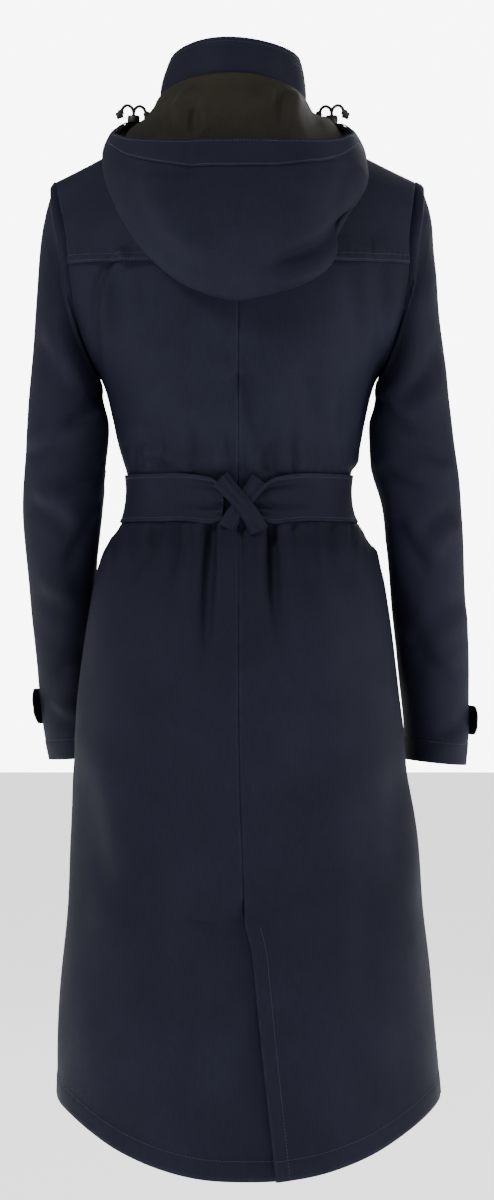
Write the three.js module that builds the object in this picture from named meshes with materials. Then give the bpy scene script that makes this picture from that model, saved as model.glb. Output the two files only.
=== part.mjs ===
// A long hooded raincoat, belted at the waist, in the hollow shape it keeps when it is worn.
// Millimetres, +Z up. The wearer faces -Y and the wearer's left is +X.
// The origin is the middle of the neck opening, where the collar is sewn on.

import * as THREE from 'three';

// ---------------------------------------------------------------- driving sizes

const SHELL = 2; // wall of a panel: shell cloth, membrane and seam allowance
const TRIM = 1.4; // wall of the yoke, the placket and the hood's lining and hem
const GAP = 0.3; // between two pieces at a seam
const LAID = 0.5; // between a panel and what lies on it
const LOOSE = 1; // between a panel and a flap or strip that is sewn on at one edge only
const UNDERLAP = 3.8; // how far an underlap lies below the panel that covers it

const NECK = { half: 81, depth: 74, y: -12, z: -13, tilt: 34 };
const COLLAR = { topHalf: 74, topDepth: 63, topY: -14, topZ: 48, topTilt: 21, lean: -3, swell: 4 };
const SHOULDER = { x: 203, y: -14, drop: 72, bend: 0.8, round: 130 };
const SLOPE_ALLOWANCE = 1.15; // how far an inner wall lies below the shoulders, in wall thicknesses
const UNDERARM_Z = -310;
const ROUNDNESS = 2.3; // exponent of the body's rings: 2 is an ellipse
const NECK_SHARE = 0.375; // share of a panel's top edge that is neckline; the rest is shoulder seam

const VENT_TOP = -896;
const VENT_EDGE = { top: 3, hem: 24 }; // how far the vent's upper edge swings off the centre seam
const HEM = { side: -1105, dropBack: 72, dropFront: 18, startsAt: -880, bend: 2.2, halfWidth: 380 };
const YOKE_EDGE = -186;
const YOKE_LIFT = { all: 1.7, edge: 1.5 }; // how far the storm flap stands off the back
const YOKE_TOP = { neck: 0.1, shoulder: 0.04, blend: 0.25 }; // how far down its top edge lies
const BELT = { top: -415, bottom: -467, wall: 2.6, knotX: -4, end: 12, gathered: 0.62 };
const PLACKET = { half: 22, top: 0.04, foot: -1090 };
const STUD = { radius: 7, thick: 2, first: -78, pitch: 104, count: 8 };
const CORD = { radius: 1.8, apart: 3.9, knot: 3.9 };

// Half width, back and front depth of the body's rings, and how far each ring is off centre.
// Above the underarm the rings run on under the sleeves, and the armhole cuts them.
const BODY = table(['z', 'half', 'back', 'front', 'shift'], [
  [40, 226, 96, 104, 9],
  [0, 223, 103, 110, 8],
  [-60, 220, 112, 119, 5],
  [-140, 214, 119, 127, 2],
  [-190, 207, 123, 131, 0],
  [-230, 198, 124, 133, 0],
  [-275, 176, 124, 133, 0],
  [-310, 153, 122, 131, 0],
  [-353, 141, 116, 126, 0],
  [-385, 134, 109, 118, 0],
  [-410, 126, 102, 110, 0],
  [-435, 123, 98, 106, 0],
  [-460, 127, 100, 108, 0],
  [-478, 138, 107, 113, 0],
  [-502, 153, 124, 121, 0],
  [-554, 166, 147, 134, 0],
  [-640, 177, 162, 144, 0],
  [-743, 186, 171, 152, -1],
  [-890, 197, 181, 164, -6],
  [-1002, 208, 190, 174, -8],
  [-1105, 215, 197, 182, -11],
  [-1190, 219, 201, 186, -12],
]);

// Where the back and the front armhole edges run: the height and the distance from the middle.
const ARMHOLE = table(['down', 'back', 'front'], [
  [0, 202, 202],
  [0.12, 197, 195],
  [0.3, 190, 183],
  [0.5, 187, 177],
  [0.72, 179, 172],
  [0.88, 167, 164],
  [1, 153, 153],
]);

// Soft folds. x at the top and the bottom of the fold, its heights, its half width and depth;
// a negative depth is a trough.
const BACK_FOLDS = table(['xTop', 'xEnd', 'top', 'end', 'width', 'depth'], [
  [29, 36, -468, -640, 16, -7],
  [-35, -40, -468, -630, 15, -7],
  [-3, -4, -470, -600, 22, 4],
  [78, 96, -470, -700, 26, 3],
  [-84, -104, -470, -760, 26, 3],
  [120, 150, -620, -1060, 30, 5],
  [-122, -160, -620, -1060, 30, 5],
  [62, 84, -700, -1080, 34, -4],
  [-62, -96, -700, -1080, 34, -4],
  [2, -24, -290, -412, 20, -4],
  [46, 66, -330, -408, 22, 3],
  [-66, -84, -250, -408, 20, -3],
]);
const FRONT_FOLDS = table(['xTop', 'xEnd', 'top', 'end', 'width', 'depth'], [
  [52, 70, -470, -700, 20, -6],
  [-54, -72, -470, -690, 20, -6],
  [96, 132, -560, -1040, 30, 5],
  [-98, -136, -580, -1040, 30, 5],
  [60, 70, -300, -408, 22, -3],
  [-58, -66, -310, -408, 22, -3],
]);

// ---------------------------------------------------------------- small helpers

function table(columns, rows) {
  return rows.map((row) => Object.fromEntries(columns.map((name, i) => [name, row[i]])));
}

const clamp01 = (value) => Math.min(1, Math.max(0, value));
const mix = (a, b, share) => a + (b - a) * share;
const ease = (value) => clamp01(value) ** 2 * (3 - 2 * clamp01(value));
const wave = (angle, power) => Math.sign(angle) * Math.abs(angle) ** power;

// A smooth curve through one column of a table, read at a place on its key column.
function read(rows, key, column, place) {
  const rising = rows[1][key] > rows[0][key];
  const lo = rising ? rows[0] : rows[rows.length - 1];
  const hi = rising ? rows[rows.length - 1] : rows[0];
  const at = Math.min(hi[key], Math.max(lo[key], place));
  let i = rows.findIndex((row, n) => n > 0 && (rising ? at <= row[key] : at >= row[key])) - 1;
  i = Math.max(0, i);
  const [a, b] = [rows[i], rows[i + 1]];
  const before = rows[Math.max(0, i - 1)];
  const after = rows[Math.min(rows.length - 1, i + 2)];
  const span = b[key] - a[key];
  const share = (at - a[key]) / span;
  const slopeA = (b[column] - before[column]) / (b[key] - before[key]) * span;
  const slopeB = (after[column] - a[column]) / (after[key] - a[key]) * span;
  const s2 = share * share;
  const s3 = s2 * share;
  return a[column] * (2 * s3 - 3 * s2 + 1) + slopeA * (s3 - 2 * s2 + share)
    + b[column] * (3 * s2 - 2 * s3) + slopeB * (s3 - s2);
}

// A closed wall between two grids of points, [row][column]; round closes each row on itself.
// Each four-sided patch is split along its shorter diagonal, as measured on the grid called like,
// so that pieces that lie on each other are split alike.
function wall(outer, inner, { round = false, like = outer } = {}) {
  const rows = outer.length;
  const columns = outer[0].length;
  const positions = [...outer.flat(), ...inner.flat()].flatMap((p) => [p.x, p.y, p.z]);
  const front = (r, c) => r * columns + (c % columns);
  const back = (r, c) => rows * columns + front(r, c);
  const index = [];
  const quad = (a, b, c, d) => index.push(a, b, c, a, c, d);
  const last = round ? columns : columns - 1;
  for (let r = 0; r < rows - 1; r += 1) {
    for (let c = 0; c < last; c += 1) {
      const [p, q] = [like[r], like[r + 1]];
      const next = (c + 1) % columns;
      const slant = p[c].distanceTo(q[next]) > p[next].distanceTo(q[c]);
      const corners = [[r, c], [r, c + 1], [r + 1, c + 1], [r + 1, c]];
      if (slant) corners.push(corners.shift());
      const [first, ...others] = corners;
      quad(...corners.map(([i, j]) => front(i, j)));
      quad(...[first, ...others.toReversed()].map(([i, j]) => back(i, j)));
    }
  }
  for (let c = 0; c < last; c += 1) {
    quad(front(0, c), back(0, c), back(0, c + 1), front(0, c + 1));
    quad(front(rows - 1, c), front(rows - 1, c + 1), back(rows - 1, c + 1), back(rows - 1, c));
  }
  if (!round) {
    for (let r = 0; r < rows - 1; r += 1) {
      quad(front(r, 0), front(r + 1, 0), back(r + 1, 0), back(r, 0));
      quad(front(r, last), back(r, last), back(r + 1, last), front(r + 1, last));
    }
  }
  return facingOut(positions, index);
}

// A geometry whose faces point out, whichever way its grid was walked.
function facingOut(positions, index) {
  const at = (i) => new THREE.Vector3().fromArray(positions, i * 3);
  let volume = 0;
  for (let i = 0; i < index.length; i += 3) {
    volume += at(index[i]).dot(at(index[i + 1]).cross(at(index[i + 2])));
  }
  const faces = volume < 0 ? index.toReversed() : index;
  const geometry = new THREE.BufferGeometry();
  geometry.setAttribute('position', new THREE.Float32BufferAttribute(positions, 3));
  geometry.setIndex(faces);
  return geometry;
}

// The grid of points that a function gives for each row and column value.
function grid(rows, columns, point) {
  return rows.map((row) => columns.map((column) => point(row, column)));
}

function steps(from, to, count) {
  return Array.from({ length: count + 1 }, (_, i) => mix(from, to, i / count));
}

// ---------------------------------------------------------------- the coat's body

// The neckline at an angle from the centre back.
function neckline(angle) {
  return new THREE.Vector3(
    NECK.half * Math.sin(angle),
    NECK.y + NECK.depth * Math.cos(angle),
    NECK.z + NECK.tilt * Math.cos(angle),
  );
}

// The top edge of a panel at a distance from the middle: neckline, then shoulder seam.
function topEdge(x, side) {
  const far = Math.abs(x);
  if (far <= NECK.half) {
    const angle = Math.asin(Math.min(1, far / NECK.half));
    return neckline(side > 0 ? angle : Math.PI - angle);
  }
  const share = (far - NECK.half) / (SHOULDER.x - NECK.half);
  const z = NECK.z - SHOULDER.drop * share ** SHOULDER.bend;
  return new THREE.Vector3(far, mix(NECK.y, SHOULDER.y, clamp01(share)), z);
}

// How far the soft folds push the cloth out at a place on the back or the front.
function foldHeight(x, z, side) {
  const rows = side > 0 ? BACK_FOLDS : FRONT_FOLDS;
  return rows.reduce((sum, fold) => {
    const down = (fold.top - z) / (fold.top - fold.end);
    if (down <= 0 || down >= 1) return sum;
    const off = (x - mix(fold.xTop, fold.xEnd, down)) / fold.width;
    return sum + fold.depth * Math.exp(-off * off) * Math.sin(Math.PI * Math.sqrt(down)) ** 2;
  }, 0);
}

// Depth of the coat at a distance from the middle and a height. side is 1 behind, -1 in front.
function coatDepth(x, z, side, inset) {
  const half = read(BODY, 'z', 'half', z) - inset;
  const deep = read(BODY, 'z', side > 0 ? 'back' : 'front', z) - inset;
  const across = Math.min(1, Math.abs(x) / half);
  const ring = side * deep * (1 - across ** ROUNDNESS) ** (1 / ROUNDNESS);
  const edge = topEdge(x, side);
  const down = (edge.z - inset * SLOPE_ALLOWANCE - z) / SHOULDER.round;
  if (down >= 1) return ring;
  const bend = 1.5 + 0.5 * clamp01(Math.abs(x) / 120);
  const share = (1 - (1 - clamp01(down)) ** bend) ** (1 / bend);
  return mix(edge.y, ring, share);
}

// A point of the coat below the underarm: u runs from the middle (0) to the side seam (1).
function ringPoint(u, z, side, inset) {
  const power = 2 / ROUNDNESS;
  const angle = u * Math.PI / 2;
  const half = read(BODY, 'z', 'half', z) - inset;
  const deep = read(BODY, 'z', side > 0 ? 'back' : 'front', z) - inset;
  const x = half * wave(Math.sin(angle), power);
  const y = side * deep * wave(Math.cos(angle), power);
  return new THREE.Vector3(x, y, z);
}

// A point of the coat above the underarm: down runs from the top edge (0) to the underarm (1).
function yokePoint(u, down, side, inset) {
  const far = Math.abs(u);
  const neckShare = Math.min(1, far / NECK_SHARE);
  const shoulderShare = Math.max(0, (far - NECK_SHARE) / (1 - NECK_SHARE));
  const topX = far <= NECK_SHARE
    ? NECK.half * Math.sin(neckShare * Math.PI / 2)
    : mix(NECK.half, SHOULDER.x, shoulderShare);
  const ringShare = Math.sin(far * Math.PI / 2) ** (2 / ROUNDNESS);
  const edgeX = read(ARMHOLE, 'down', side > 0 ? 'back' : 'front', down) - inset * down ** 3;
  const x = edgeX * mix(topX / SHOULDER.x, ringShare, down);
  const z = mix(topEdge(topX, side).z - inset * SLOPE_ALLOWANCE, UNDERARM_Z, down);
  const y = down === 0 ? topEdge(topX, side).y : coatDepth(x, z, side, inset);
  return new THREE.Vector3(x * (Math.sign(u) || 1), y, z);
}

// A point of the coat. v runs from 0 at the top edge to 1 at the underarm, and is a height in
// millimetres, a negative number, below that. hand is 1 on the wearer's left, -1 on the right.
function coat(u, v, side, hand, inset) {
  const below = v < 0;
  const p = below ? ringPoint(u, v, side, inset) : yokePoint(u, v, side, inset);
  const x = p.x * hand;
  const push = below ? foldHeight(x, v, side) : 0;
  const out = new THREE.Vector3(x / 2, p.y, 0).normalize();
  const shift = read(BODY, 'z', 'shift', p.z);
  if (below && v < HEM.startsAt) {
    const drop = side > 0 ? HEM.dropBack : HEM.dropFront;
    const share = (HEM.startsAt - v) / (HEM.startsAt - HEM.side);
    p.z -= drop * share * Math.abs(Math.cos(u * Math.PI / 2)) ** HEM.bend;
  }
  return new THREE.Vector3(
    x + out.x * push + shift + hand * GAP / 2,
    p.y + out.y * push + side * GAP / 2,
    p.z,
  );
}

const UPPER_ROWS = [0, 0.04, 0.12, 0.25, 0.42, 0.63, 0.84];
const LOWER_ROWS = [UNDERARM_Z, -350, -385, -404, BELT.top, -441, BELT.bottom, -482, -510, -560,
  -650, -760, -868, -892, -902, -1000, HEM.side];
const PANEL_ROWS = [...UPPER_ROWS, ...LOWER_ROWS];
const BESIDE_MIDDLE = 0.125;
const PANEL_COLUMNS = [1, 0.875, 0.75, 0.625, 0.5, 0.375, 0.25, BESIDE_MIDDLE, 0];
const PAST_MIDDLE = -0.07;

function backRight() {
  const edge = (u, v) => {
    if (u > 0 || v >= 0 || v > VENT_TOP) return u;
    const share = (VENT_TOP - v) / (VENT_TOP - HEM.side);
    return mix(VENT_EDGE.top, VENT_EDGE.hem, share) / HEM.halfWidth;
  };
  const sheet = (inset) => grid(PANEL_ROWS, PANEL_COLUMNS, (v, u) => coat(edge(u, v), v, 1, -1, inset));
  return wall(sheet(0), sheet(SHELL));
}

function backLeft() {
  const under = (u, v) => {
    if (v >= 0) return 0;
    return UNDERLAP * ease((-868 - v) / 22) * ease((BESIDE_MIDDLE - u) / BESIDE_MIDDLE);
  };
  const edge = (u, v) => (u > 0 || v >= 0 || v > VENT_TOP ? u : -BESIDE_MIDDLE);
  const sheet = (inset) => grid(PANEL_ROWS, PANEL_COLUMNS, (v, u) => (
    coat(edge(u, v), v, 1, 1, inset + under(edge(u, v), v))
  ));
  return wall(sheet(0), sheet(SHELL));
}

function frontRight() {
  const columns = [...PANEL_COLUMNS, PAST_MIDDLE];
  const sheet = (inset) => grid(PANEL_ROWS, columns, (v, u) => coat(u, v, -1, -1, inset));
  return wall(sheet(0), sheet(SHELL));
}

function frontLeft() {
  const columns = [...PANEL_COLUMNS, PAST_MIDDLE];
  const under = (u) => UNDERLAP * ease((0.25 - u) / 0.12);
  const sheet = (inset) => grid(PANEL_ROWS, columns, (v, u) => coat(u, v, -1, 1, inset + under(u)));
  return wall(sheet(0), sheet(SHELL));
}

// The storm flap over the upper back, from armhole to armhole.
function backYoke() {
  const columns = steps(-1, 1, 16);
  const point = (row, u, outset) => {
    const far = Math.abs(u);
    const hand = Math.sign(u) || 1;
    const topZ = coat(far, 0, 1, 1, 0).z;
    const edge = (topZ - YOKE_EDGE) / (topZ - UNDERARM_Z);
    const start = mix(YOKE_TOP.neck, YOKE_TOP.shoulder, ease((far - NECK_SHARE) / YOKE_TOP.blend));
    const down = row < UPPER_ROWS[2] ? start : row < 0.5 ? row : mix(UPPER_ROWS[3], edge, row - 1);
    const lift = row > 1.5 ? YOKE_LIFT.edge : 0;
    const p = coat(far, down, 1, hand, -outset - lift);
    if (u === 0) p.x -= GAP / 2;
    if (far === 1) p.lerp(coat(0.875, down, 1, hand, -outset - lift), 0.08);
    return p;
  };
  const rows = [...UPPER_ROWS.slice(1, 4), 1.5, 2];
  const sheet = (outset) => grid(rows, columns, (row, u) => point(row, u, outset));
  return wall(sheet(YOKE_LIFT.all + TRIM), sheet(YOKE_LIFT.all), { like: sheet(0) });
}

// A point of the front opening, off millimetres to the wearer's left of the middle.
function openingPoint(off, v, outset) {
  const middle = coat(0, v, -1, -1, -outset);
  const beside = coat(off > 0 ? PAST_MIDDLE : BESIDE_MIDDLE, v, -1, -1, -outset);
  return middle.clone().lerp(beside, off / (beside.x - middle.x));
}

const PLACKET_ROWS = [
  ...PANEL_ROWS.filter((v) => v >= PLACKET.top || (v < 0 && v > HEM.side)),
  PLACKET.foot,
];

// The strip that covers the front opening, on the wearer's right front.
function placket() {
  const columns = [-PLACKET.half, 0, PLACKET.half];
  const sheet = (outset) => grid(PLACKET_ROWS, columns, (v, off) => openingPoint(off, v, outset));
  return wall(sheet(LOOSE + TRIM), sheet(LOOSE));
}

// A point outset millimetres off the placket's middle, on its flat stretches.
function placketPoint(v, outset) {
  const after = PLACKET_ROWS.findIndex((row) => (v > 0 ? row >= v || row < 0 : row <= v));
  const [a, b] = [PLACKET_ROWS[after - 1], PLACKET_ROWS[after]];
  return openingPoint(0, a, outset).lerp(openingPoint(0, b, outset), (v - a) / (b - a));
}

// A press stud's cap, its flat underside at a point and its face along a direction.
function studCap(place, direction) {
  const { radius, thick } = STUD;
  const profile = [[0, 0], [radius, 0], [radius, thick * 0.5], [radius * 0.8, thick], [0, thick]];
  const cap = new THREE.LatheGeometry(profile.map(([r, h]) => new THREE.Vector2(r, h)), 12);
  const turn = new THREE.Quaternion().setFromUnitVectors(new THREE.Vector3(0, 1, 0), direction);
  return cap.applyQuaternion(turn).translate(place.x, place.y, place.z);
}

function frontStud(number) {
  const z = STUD.first - number * STUD.pitch;
  const outset = LOOSE + TRIM + GAP + 0.1;
  const top = NECK.z - NECK.tilt;
  const v = z > UNDERARM_Z ? (top - z) / (top - UNDERARM_Z) : z;
  const place = placketPoint(v, outset);
  const above = placketPoint(v > 0 ? v - 0.01 : v + 3, outset);
  const slope = above.sub(place).normalize();
  const face = new THREE.Vector3(1, 0, 0).cross(slope).normalize();
  return studCap(place, face.y > 0 ? face.negate() : face);
}

// ---------------------------------------------------------------- sleeves

// Outer and inner edge of each sleeve ring, its middle from front to back and its half depth.
const SLEEVE_COLUMNS = ['outX', 'outZ', 'inX', 'inZ', 'y', 'deep'];
const LEFT_SLEEVE = table(SLEEVE_COLUMNS, [
  [213, -98, 156, -316, -5, 62],
  [219, -124, 154, -328, -3, 62],
  [224, -167, 151, -342, -2, 61],
  [227, -225, 147, -358, -1, 60],
  [233, -300, 147, -378, 0, 58],
  [240, -385, 150, -412, 0, 55],
  [242, -440, 153, -452, -6, 53],
  [241, -492, 159, -500, -24, 52],
  [238, -550, 165, -556, -52, 52],
  [233, -615, 167, -620, -86, 51],
  [227, -682, 162, -684, -120, 49],
  [220, -738, 156, -734, -146, 47],
]);
const RIGHT_SLEEVE = table(SLEEVE_COLUMNS, [
  [212, -98, 156, -316, -5, 62],
  [217, -124, 154, -328, -3, 62],
  [220, -167, 151, -342, -2, 61],
  [223, -225, 147, -356, -1, 60],
  [233, -305, 147, -376, 0, 58],
  [243, -393, 150, -412, 0, 55],
  [248, -455, 161, -455, -3, 53],
  [253, -515, 167, -505, -14, 52],
  [258, -580, 173, -562, -32, 52],
  [262, -640, 180, -625, -52, 51],
  [262, -695, 186, -688, -70, 49],
  [259, -742, 189, -735, -84, 47],
]);

// How far the sleeve's head swells out past the armhole, front and back, and over how many rings.
const SLEEVE_HEAD = { swell: 12, rings: 7 };

// Once round the armhole, from the shoulder down the back edge and up the front edge.
const AROUND = [
  ...[...UPPER_ROWS, 1].map((down) => ({ down, side: 1 })),
  ...UPPER_ROWS.slice(1).reverse().map((down) => ({ down, side: -1 })),
];

// The angle round the sleeve that belongs to a place on the armhole: 0 outside, pi inside.
const armholeAngle = ({ down, side }) => side * Math.acos(1 - 2 * down);

// A point of a sleeve on ring number ring, where 1 is the first row of its table.
function sleevePoint(rows, hand, ring, angle, inset) {
  const numbered = rows.map((row, i) => ({ ...row, ring: i + 1 }));
  const value = (column) => read(numbered, 'ring', column, ring);
  const out = new THREE.Vector3(value('outX'), 0, value('outZ'));
  const into = new THREE.Vector3(value('inX'), 0, value('inZ'));
  const middle = out.clone().add(into).multiplyScalar(0.5);
  const across = out.sub(into).multiplyScalar(0.5);
  const narrow = 1 - inset / across.length();
  const p = middle.addScaledVector(across, Math.cos(angle) * narrow);
  p.y += value('y') + (value('deep') - inset) * Math.sin(angle);
  p.x += SLEEVE_HEAD.swell * ease((SLEEVE_HEAD.rings - ring) / SLEEVE_HEAD.rings) * Math.sin(angle) ** 2;
  p.x *= hand;
  return p;
}

function sleeve(rows, hand) {
  const sheet = (inset) => {
    const armhole = AROUND.map(({ down, side }) => {
      const v = down === 1 ? UNDERARM_Z : down;
      const edge = coat(1, v, side, hand, 0);
      const under = ease((down - 0.6) / 0.4);
      const p = edge.clone().lerp(coat(1, v, side, hand, inset), 1 - under);
      p.x += hand * (GAP + GAP / 2);
      p.z += GAP + GAP / 2 + inset * under;
      return p;
    });
    const rings = rows.map((_, i) => AROUND.map((place, n) => {
      const settled = clamp01(0.3 + 0.3 * (i + 1));
      const free = sleevePoint(rows, hand, i + 1, armholeAngle(place), inset);
      const first = sleevePoint(rows, hand, 1, armholeAngle(place), inset);
      const carried = armhole[n].clone().add(free).sub(first);
      return carried.lerp(free, settled);
    }));
    return [armhole, ...rings];
  };
  return wall(sheet(0), sheet(SHELL), { round: true });
}

const CUFF_TAB = { from: -1.5, to: 0.35, top: 10.6, bottom: 11.25, lift: 9, wall: 1.8 };

// The strap at the cuff: sewn down in front, its pointed free end stands off the sleeve.
function cuffTab(rows, hand) {
  const { from, to, top, bottom, lift } = CUFF_TAB;
  const point = (along, across, outset) => {
    const tip = ease((along - 0.75) / 0.25);
    const middle = (top + bottom) / 2;
    const ring = mix(mix(top, bottom, across), middle, 0.55 * tip);
    return sleevePoint(rows, hand, ring, mix(from, to, along), -outset - lift * along ** 3);
  };
  const sheet = (outset) => grid(steps(0, 1, 2), steps(0, 1, 8), (a, s) => point(s, a, outset));
  return wall(sheet(LAID + CUFF_TAB.wall), sheet(LAID));
}

// The cap of the press stud that closes a cuff tab, near its free end.
function cuffStud(rows, hand) {
  const { from, to, top, bottom, lift, wall: thick } = CUFF_TAB;
  const along = 0.8;
  const ring = (top + bottom) / 2;
  const at = (angle, out) => sleevePoint(rows, hand, ring, angle, -out - lift * along ** 3);
  const angle = mix(from, to, along);
  const middle = at(angle, LAID + thick + GAP + 1);
  const face = middle.clone().sub(at(angle, 0)).normalize();
  return studCap(middle, face);
}

// ---------------------------------------------------------------- collar

// The neckline as the panels' straight edges give it, a step of each panel's columns long.
function sewnNeckline(angle) {
  const step = Math.PI / 2 * BESIDE_MIDDLE / NECK_SHARE;
  const start = Math.floor(angle / step + 1e-6) * step;
  return neckline(start).lerp(neckline(start + step), (angle - start) / step);
}

// The stand collar at an angle from the centre back; up runs from its seam to its top edge.
function collarPoint(angle, up, inset) {
  const foot = sewnNeckline(angle);
  const crest = new THREE.Vector3(
    COLLAR.topHalf * Math.sin(angle),
    COLLAR.topY + COLLAR.topDepth * Math.cos(angle),
    COLLAR.topZ + COLLAR.topTilt * Math.cos(angle),
  );
  const p = foot.clone().lerp(crest, up);
  const away = new THREE.Vector3(Math.sin(angle), Math.cos(angle), 0);
  p.addScaledVector(away, COLLAR.swell * Math.sin(Math.PI * up) - inset);
  p.x += read(BODY, 'z', 'shift', foot.z) + COLLAR.lean * up;
  p.z += GAP + 0.1 + (inset > SHELL ? 0.5 * (1 - up) : 0);
  return p;
}

const COLLAR_LAP = 0.26; // how far the ends lap at the throat, as an angle

// The wearer's right end of the collar laps over the left end at the throat.
function collar() {
  const angles = [-Math.PI - COLLAR_LAP, ...steps(-Math.PI, Math.PI - Math.PI / 12, 23), Math.PI - 0.06];
  const under = (angle) => UNDERLAP * ease((angle - 2.35) / 0.3);
  const sheet = (inset) => grid(steps(0, 1, 3), angles, (up, a) => collarPoint(a, up, inset + under(a)));
  return wall(sheet(0), sheet(SHELL));
}

// ---------------------------------------------------------------- hood

// Sections of the hood at angles round the neck, from the centre back (0) towards the throat.
// Each runs from the neck seam down the coat's back, round the bag's low edge, up its outside
// to the face edge: low is the bag's bottom, out its fullest point, rim the face edge.
const HOOD = table(
  ['angle', 'lowX', 'lowY', 'lowZ', 'outX', 'outY', 'outZ', 'rimX', 'rimY', 'rimZ'],
  [
    [0, 0, 146, -240, 0, 184, -144, 0, 160, -57],
    [30, 54, 142, -226, 60, 178, -136, 62, 157, -57],
    [55, 102, 128, -184, 110, 152, -114, 108, 138, -54],
    [75, 130, 100, -128, 138, 112, -86, 129, 104, -44],
    [92, 138, 58, -86, 145, 62, -62, 131, 54, -36],
    [112, 122, 4, -40, 132, 0, -26, 116, -4, -20],
    [132, 98, -46, -46, 110, -50, -34, 98, -56, -21],
    [152, 58, -84, -62, 70, -88, -52, 62, -94, -36],
  ],
);
const HOOD_END = 142;
const HOOD_START = { away: 3.4, up: 4.6 };
const HOOD_NEAR = { share: 0.55, hollow: 0.022 }; // the bag's near side, between the seam and its low edge

// How far the hood's outside stays off the coat: at the neck seam, and where its near and its far
// side lie over the shoulders.
const HOOD_CLEAR = { seam: 4.2, near: 6, far: 14 };
const hoodClearance = (along) => mix(
  mix(HOOD_CLEAR.seam, HOOD_CLEAR.near, ease(along * 6)),
  HOOD_CLEAR.far,
  ease((along - 0.6) / 0.22),
);
const HOOD_ROWS = steps(0, 1, 11);
const HOOD_ANGLES = steps(-HOOD_END, HOOD_END, 24);

// Keeps a point of the hood clear of the coat's shoulders and back. It moves square to the slope
// that the shortest ways out, level and straight up, make together.
function clearOfCoat(p, clearance) {
  const x = p.x - read(BODY, 'z', 'shift', p.z);
  const edge = topEdge(x, p.y > SHOULDER.y ? 1 : -1);
  const side = p.y > edge.y ? 1 : -1;
  const rise = edge.z + clearance - p.z;
  if (rise <= 0) return p;
  const depth = coatDepth(x, p.z - clearance, side, 0) + side * clearance;
  const short = side * (depth - p.y);
  if (short <= 0) return p;
  const slope = short ** 2 + rise ** 2;
  p.y += side * short * rise ** 2 / slope;
  p.z += rise * short ** 2 / slope;
  return p;
}

// A point of the hood's outside: along runs from the neck seam (0) to the face edge (1).
function hoodPoint(along, degrees) {
  const far = Math.abs(degrees);
  const angle = far * Math.PI / 180;
  const value = (column) => read(HOOD, 'angle', column, far);
  const away = new THREE.Vector3(Math.sin(angle), Math.cos(angle), 0);
  const start = neckline(angle).addScaledVector(away, HOOD_START.away);
  start.z += HOOD_START.up;
  const low = new THREE.Vector3(value('lowX'), value('lowY'), value('lowZ'));
  const out = new THREE.Vector3(value('outX'), value('outY'), value('outZ'));
  const rim = new THREE.Vector3(value('rimX'), value('rimY'), value('rimZ'));
  const nearer = start.clone().lerp(low, HOOD_NEAR.share);
  nearer.addScaledVector(away, -HOOD_NEAR.hollow * start.distanceTo(low));
  const line = new THREE.CatmullRomCurve3([start, nearer, low, out, rim], false, 'centripetal');
  const p = line.getPoint(along);
  p.x *= Math.sign(degrees) || 1;
  p.x += read(BODY, 'z', 'shift', p.z);
  return clearOfCoat(p, hoodClearance(along));
}

// A grid with its near side eased towards its neighbours behind the neck, and kept clear of the coat.
function relaxed(points) {
  return points.map((row, r) => row.map((p, c) => {
    const share = 0.5 * ease((110 - Math.abs(HOOD_ANGLES[c])) / 30) * ease((0.6 - HOOD_ROWS[r]) / 0.1);
    if (r === 0 || share === 0) return p;
    const around = [points[r - 1][c], points[r + 1][c], row[c - 1], row[c + 1]];
    const middle = around.reduce((sum, q) => sum.add(q), new THREE.Vector3()).divideScalar(4);
    return clearOfCoat(p.clone().lerp(middle, share), hoodClearance(HOOD_ROWS[r]));
  }));
}

// The direction square to a grid at each of its points.
function directions(points) {
  const held = (i, count) => Math.min(count - 1, Math.max(0, i));
  const at = (r, c) => points[held(r, points.length)][held(c, points[0].length)];
  return points.map((row, r) => row.map((_, c) => {
    const down = at(r + 1, c).clone().sub(at(r - 1, c));
    const across = at(r, c + 1).clone().sub(at(r, c - 1));
    return down.cross(across).normalize();
  }));
}

const HOOD_GRID = relaxed(relaxed(grid(HOOD_ROWS, HOOD_ANGLES, hoodPoint)));
const HOOD_OUT = directions(HOOD_GRID);

// The hood's points moved out along their own directions, from one row to another.
function hoodSheet(outset, from = 0, to = HOOD_ROWS.length, narrower = 0) {
  return HOOD_GRID.slice(from, to).map((row, r) => row
    .map((p, c) => p.clone().addScaledVector(HOOD_OUT[from + r][c], outset))
    .slice(narrower, row.length - narrower));
}

function hoodShell() {
  return wall(hoodSheet(0), hoodSheet(-SHELL), { like: HOOD_GRID });
}

// The hood's lining, inside the bag, from the neck seam to just short of the face edge.
function hoodLining() {
  const sheet = (outset) => hoodSheet(outset, 0, HOOD_ROWS.length - 1, 5);
  return wall(sheet(-SHELL - LOOSE), sheet(-SHELL - LOOSE - TRIM), { like: sheet(0) });
}

// The tunnel along the face edge, which the drawcord runs in.
function hoodHem() {
  const sheet = (outset) => hoodSheet(outset, HOOD_ROWS.length - 2, HOOD_ROWS.length, 1);
  return wall(sheet(LAID + TRIM), sheet(LAID), { like: sheet(0) });
}

// ---------------------------------------------------------------- drawcord ends

const CORD_EXIT = { angle: 118, above: 2.1, lock: 3 }; // where the drawcord comes out of the hood's hem

// Where the two cord ends of one side come out, just above the hood's face edge.
function cordExit(hand) {
  const p = hoodPoint(1, hand * CORD_EXIT.angle);
  p.z += CORD_EXIT.above;
  return p;
}

function turned(profile, sides, place) {
  const points = profile.map(([r, h]) => new THREE.Vector2(r, h));
  return new THREE.LatheGeometry(points, sides).rotateX(Math.PI / 2).translate(place.x, place.y, place.z);
}

function eyelet(hand) {
  const profile = [[4.1, 0], [6, 0], [5.7, 1.4], [4.1, 1.4], [4.1, 0]];
  return turned(profile, 16, cordExit(hand));
}

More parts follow.
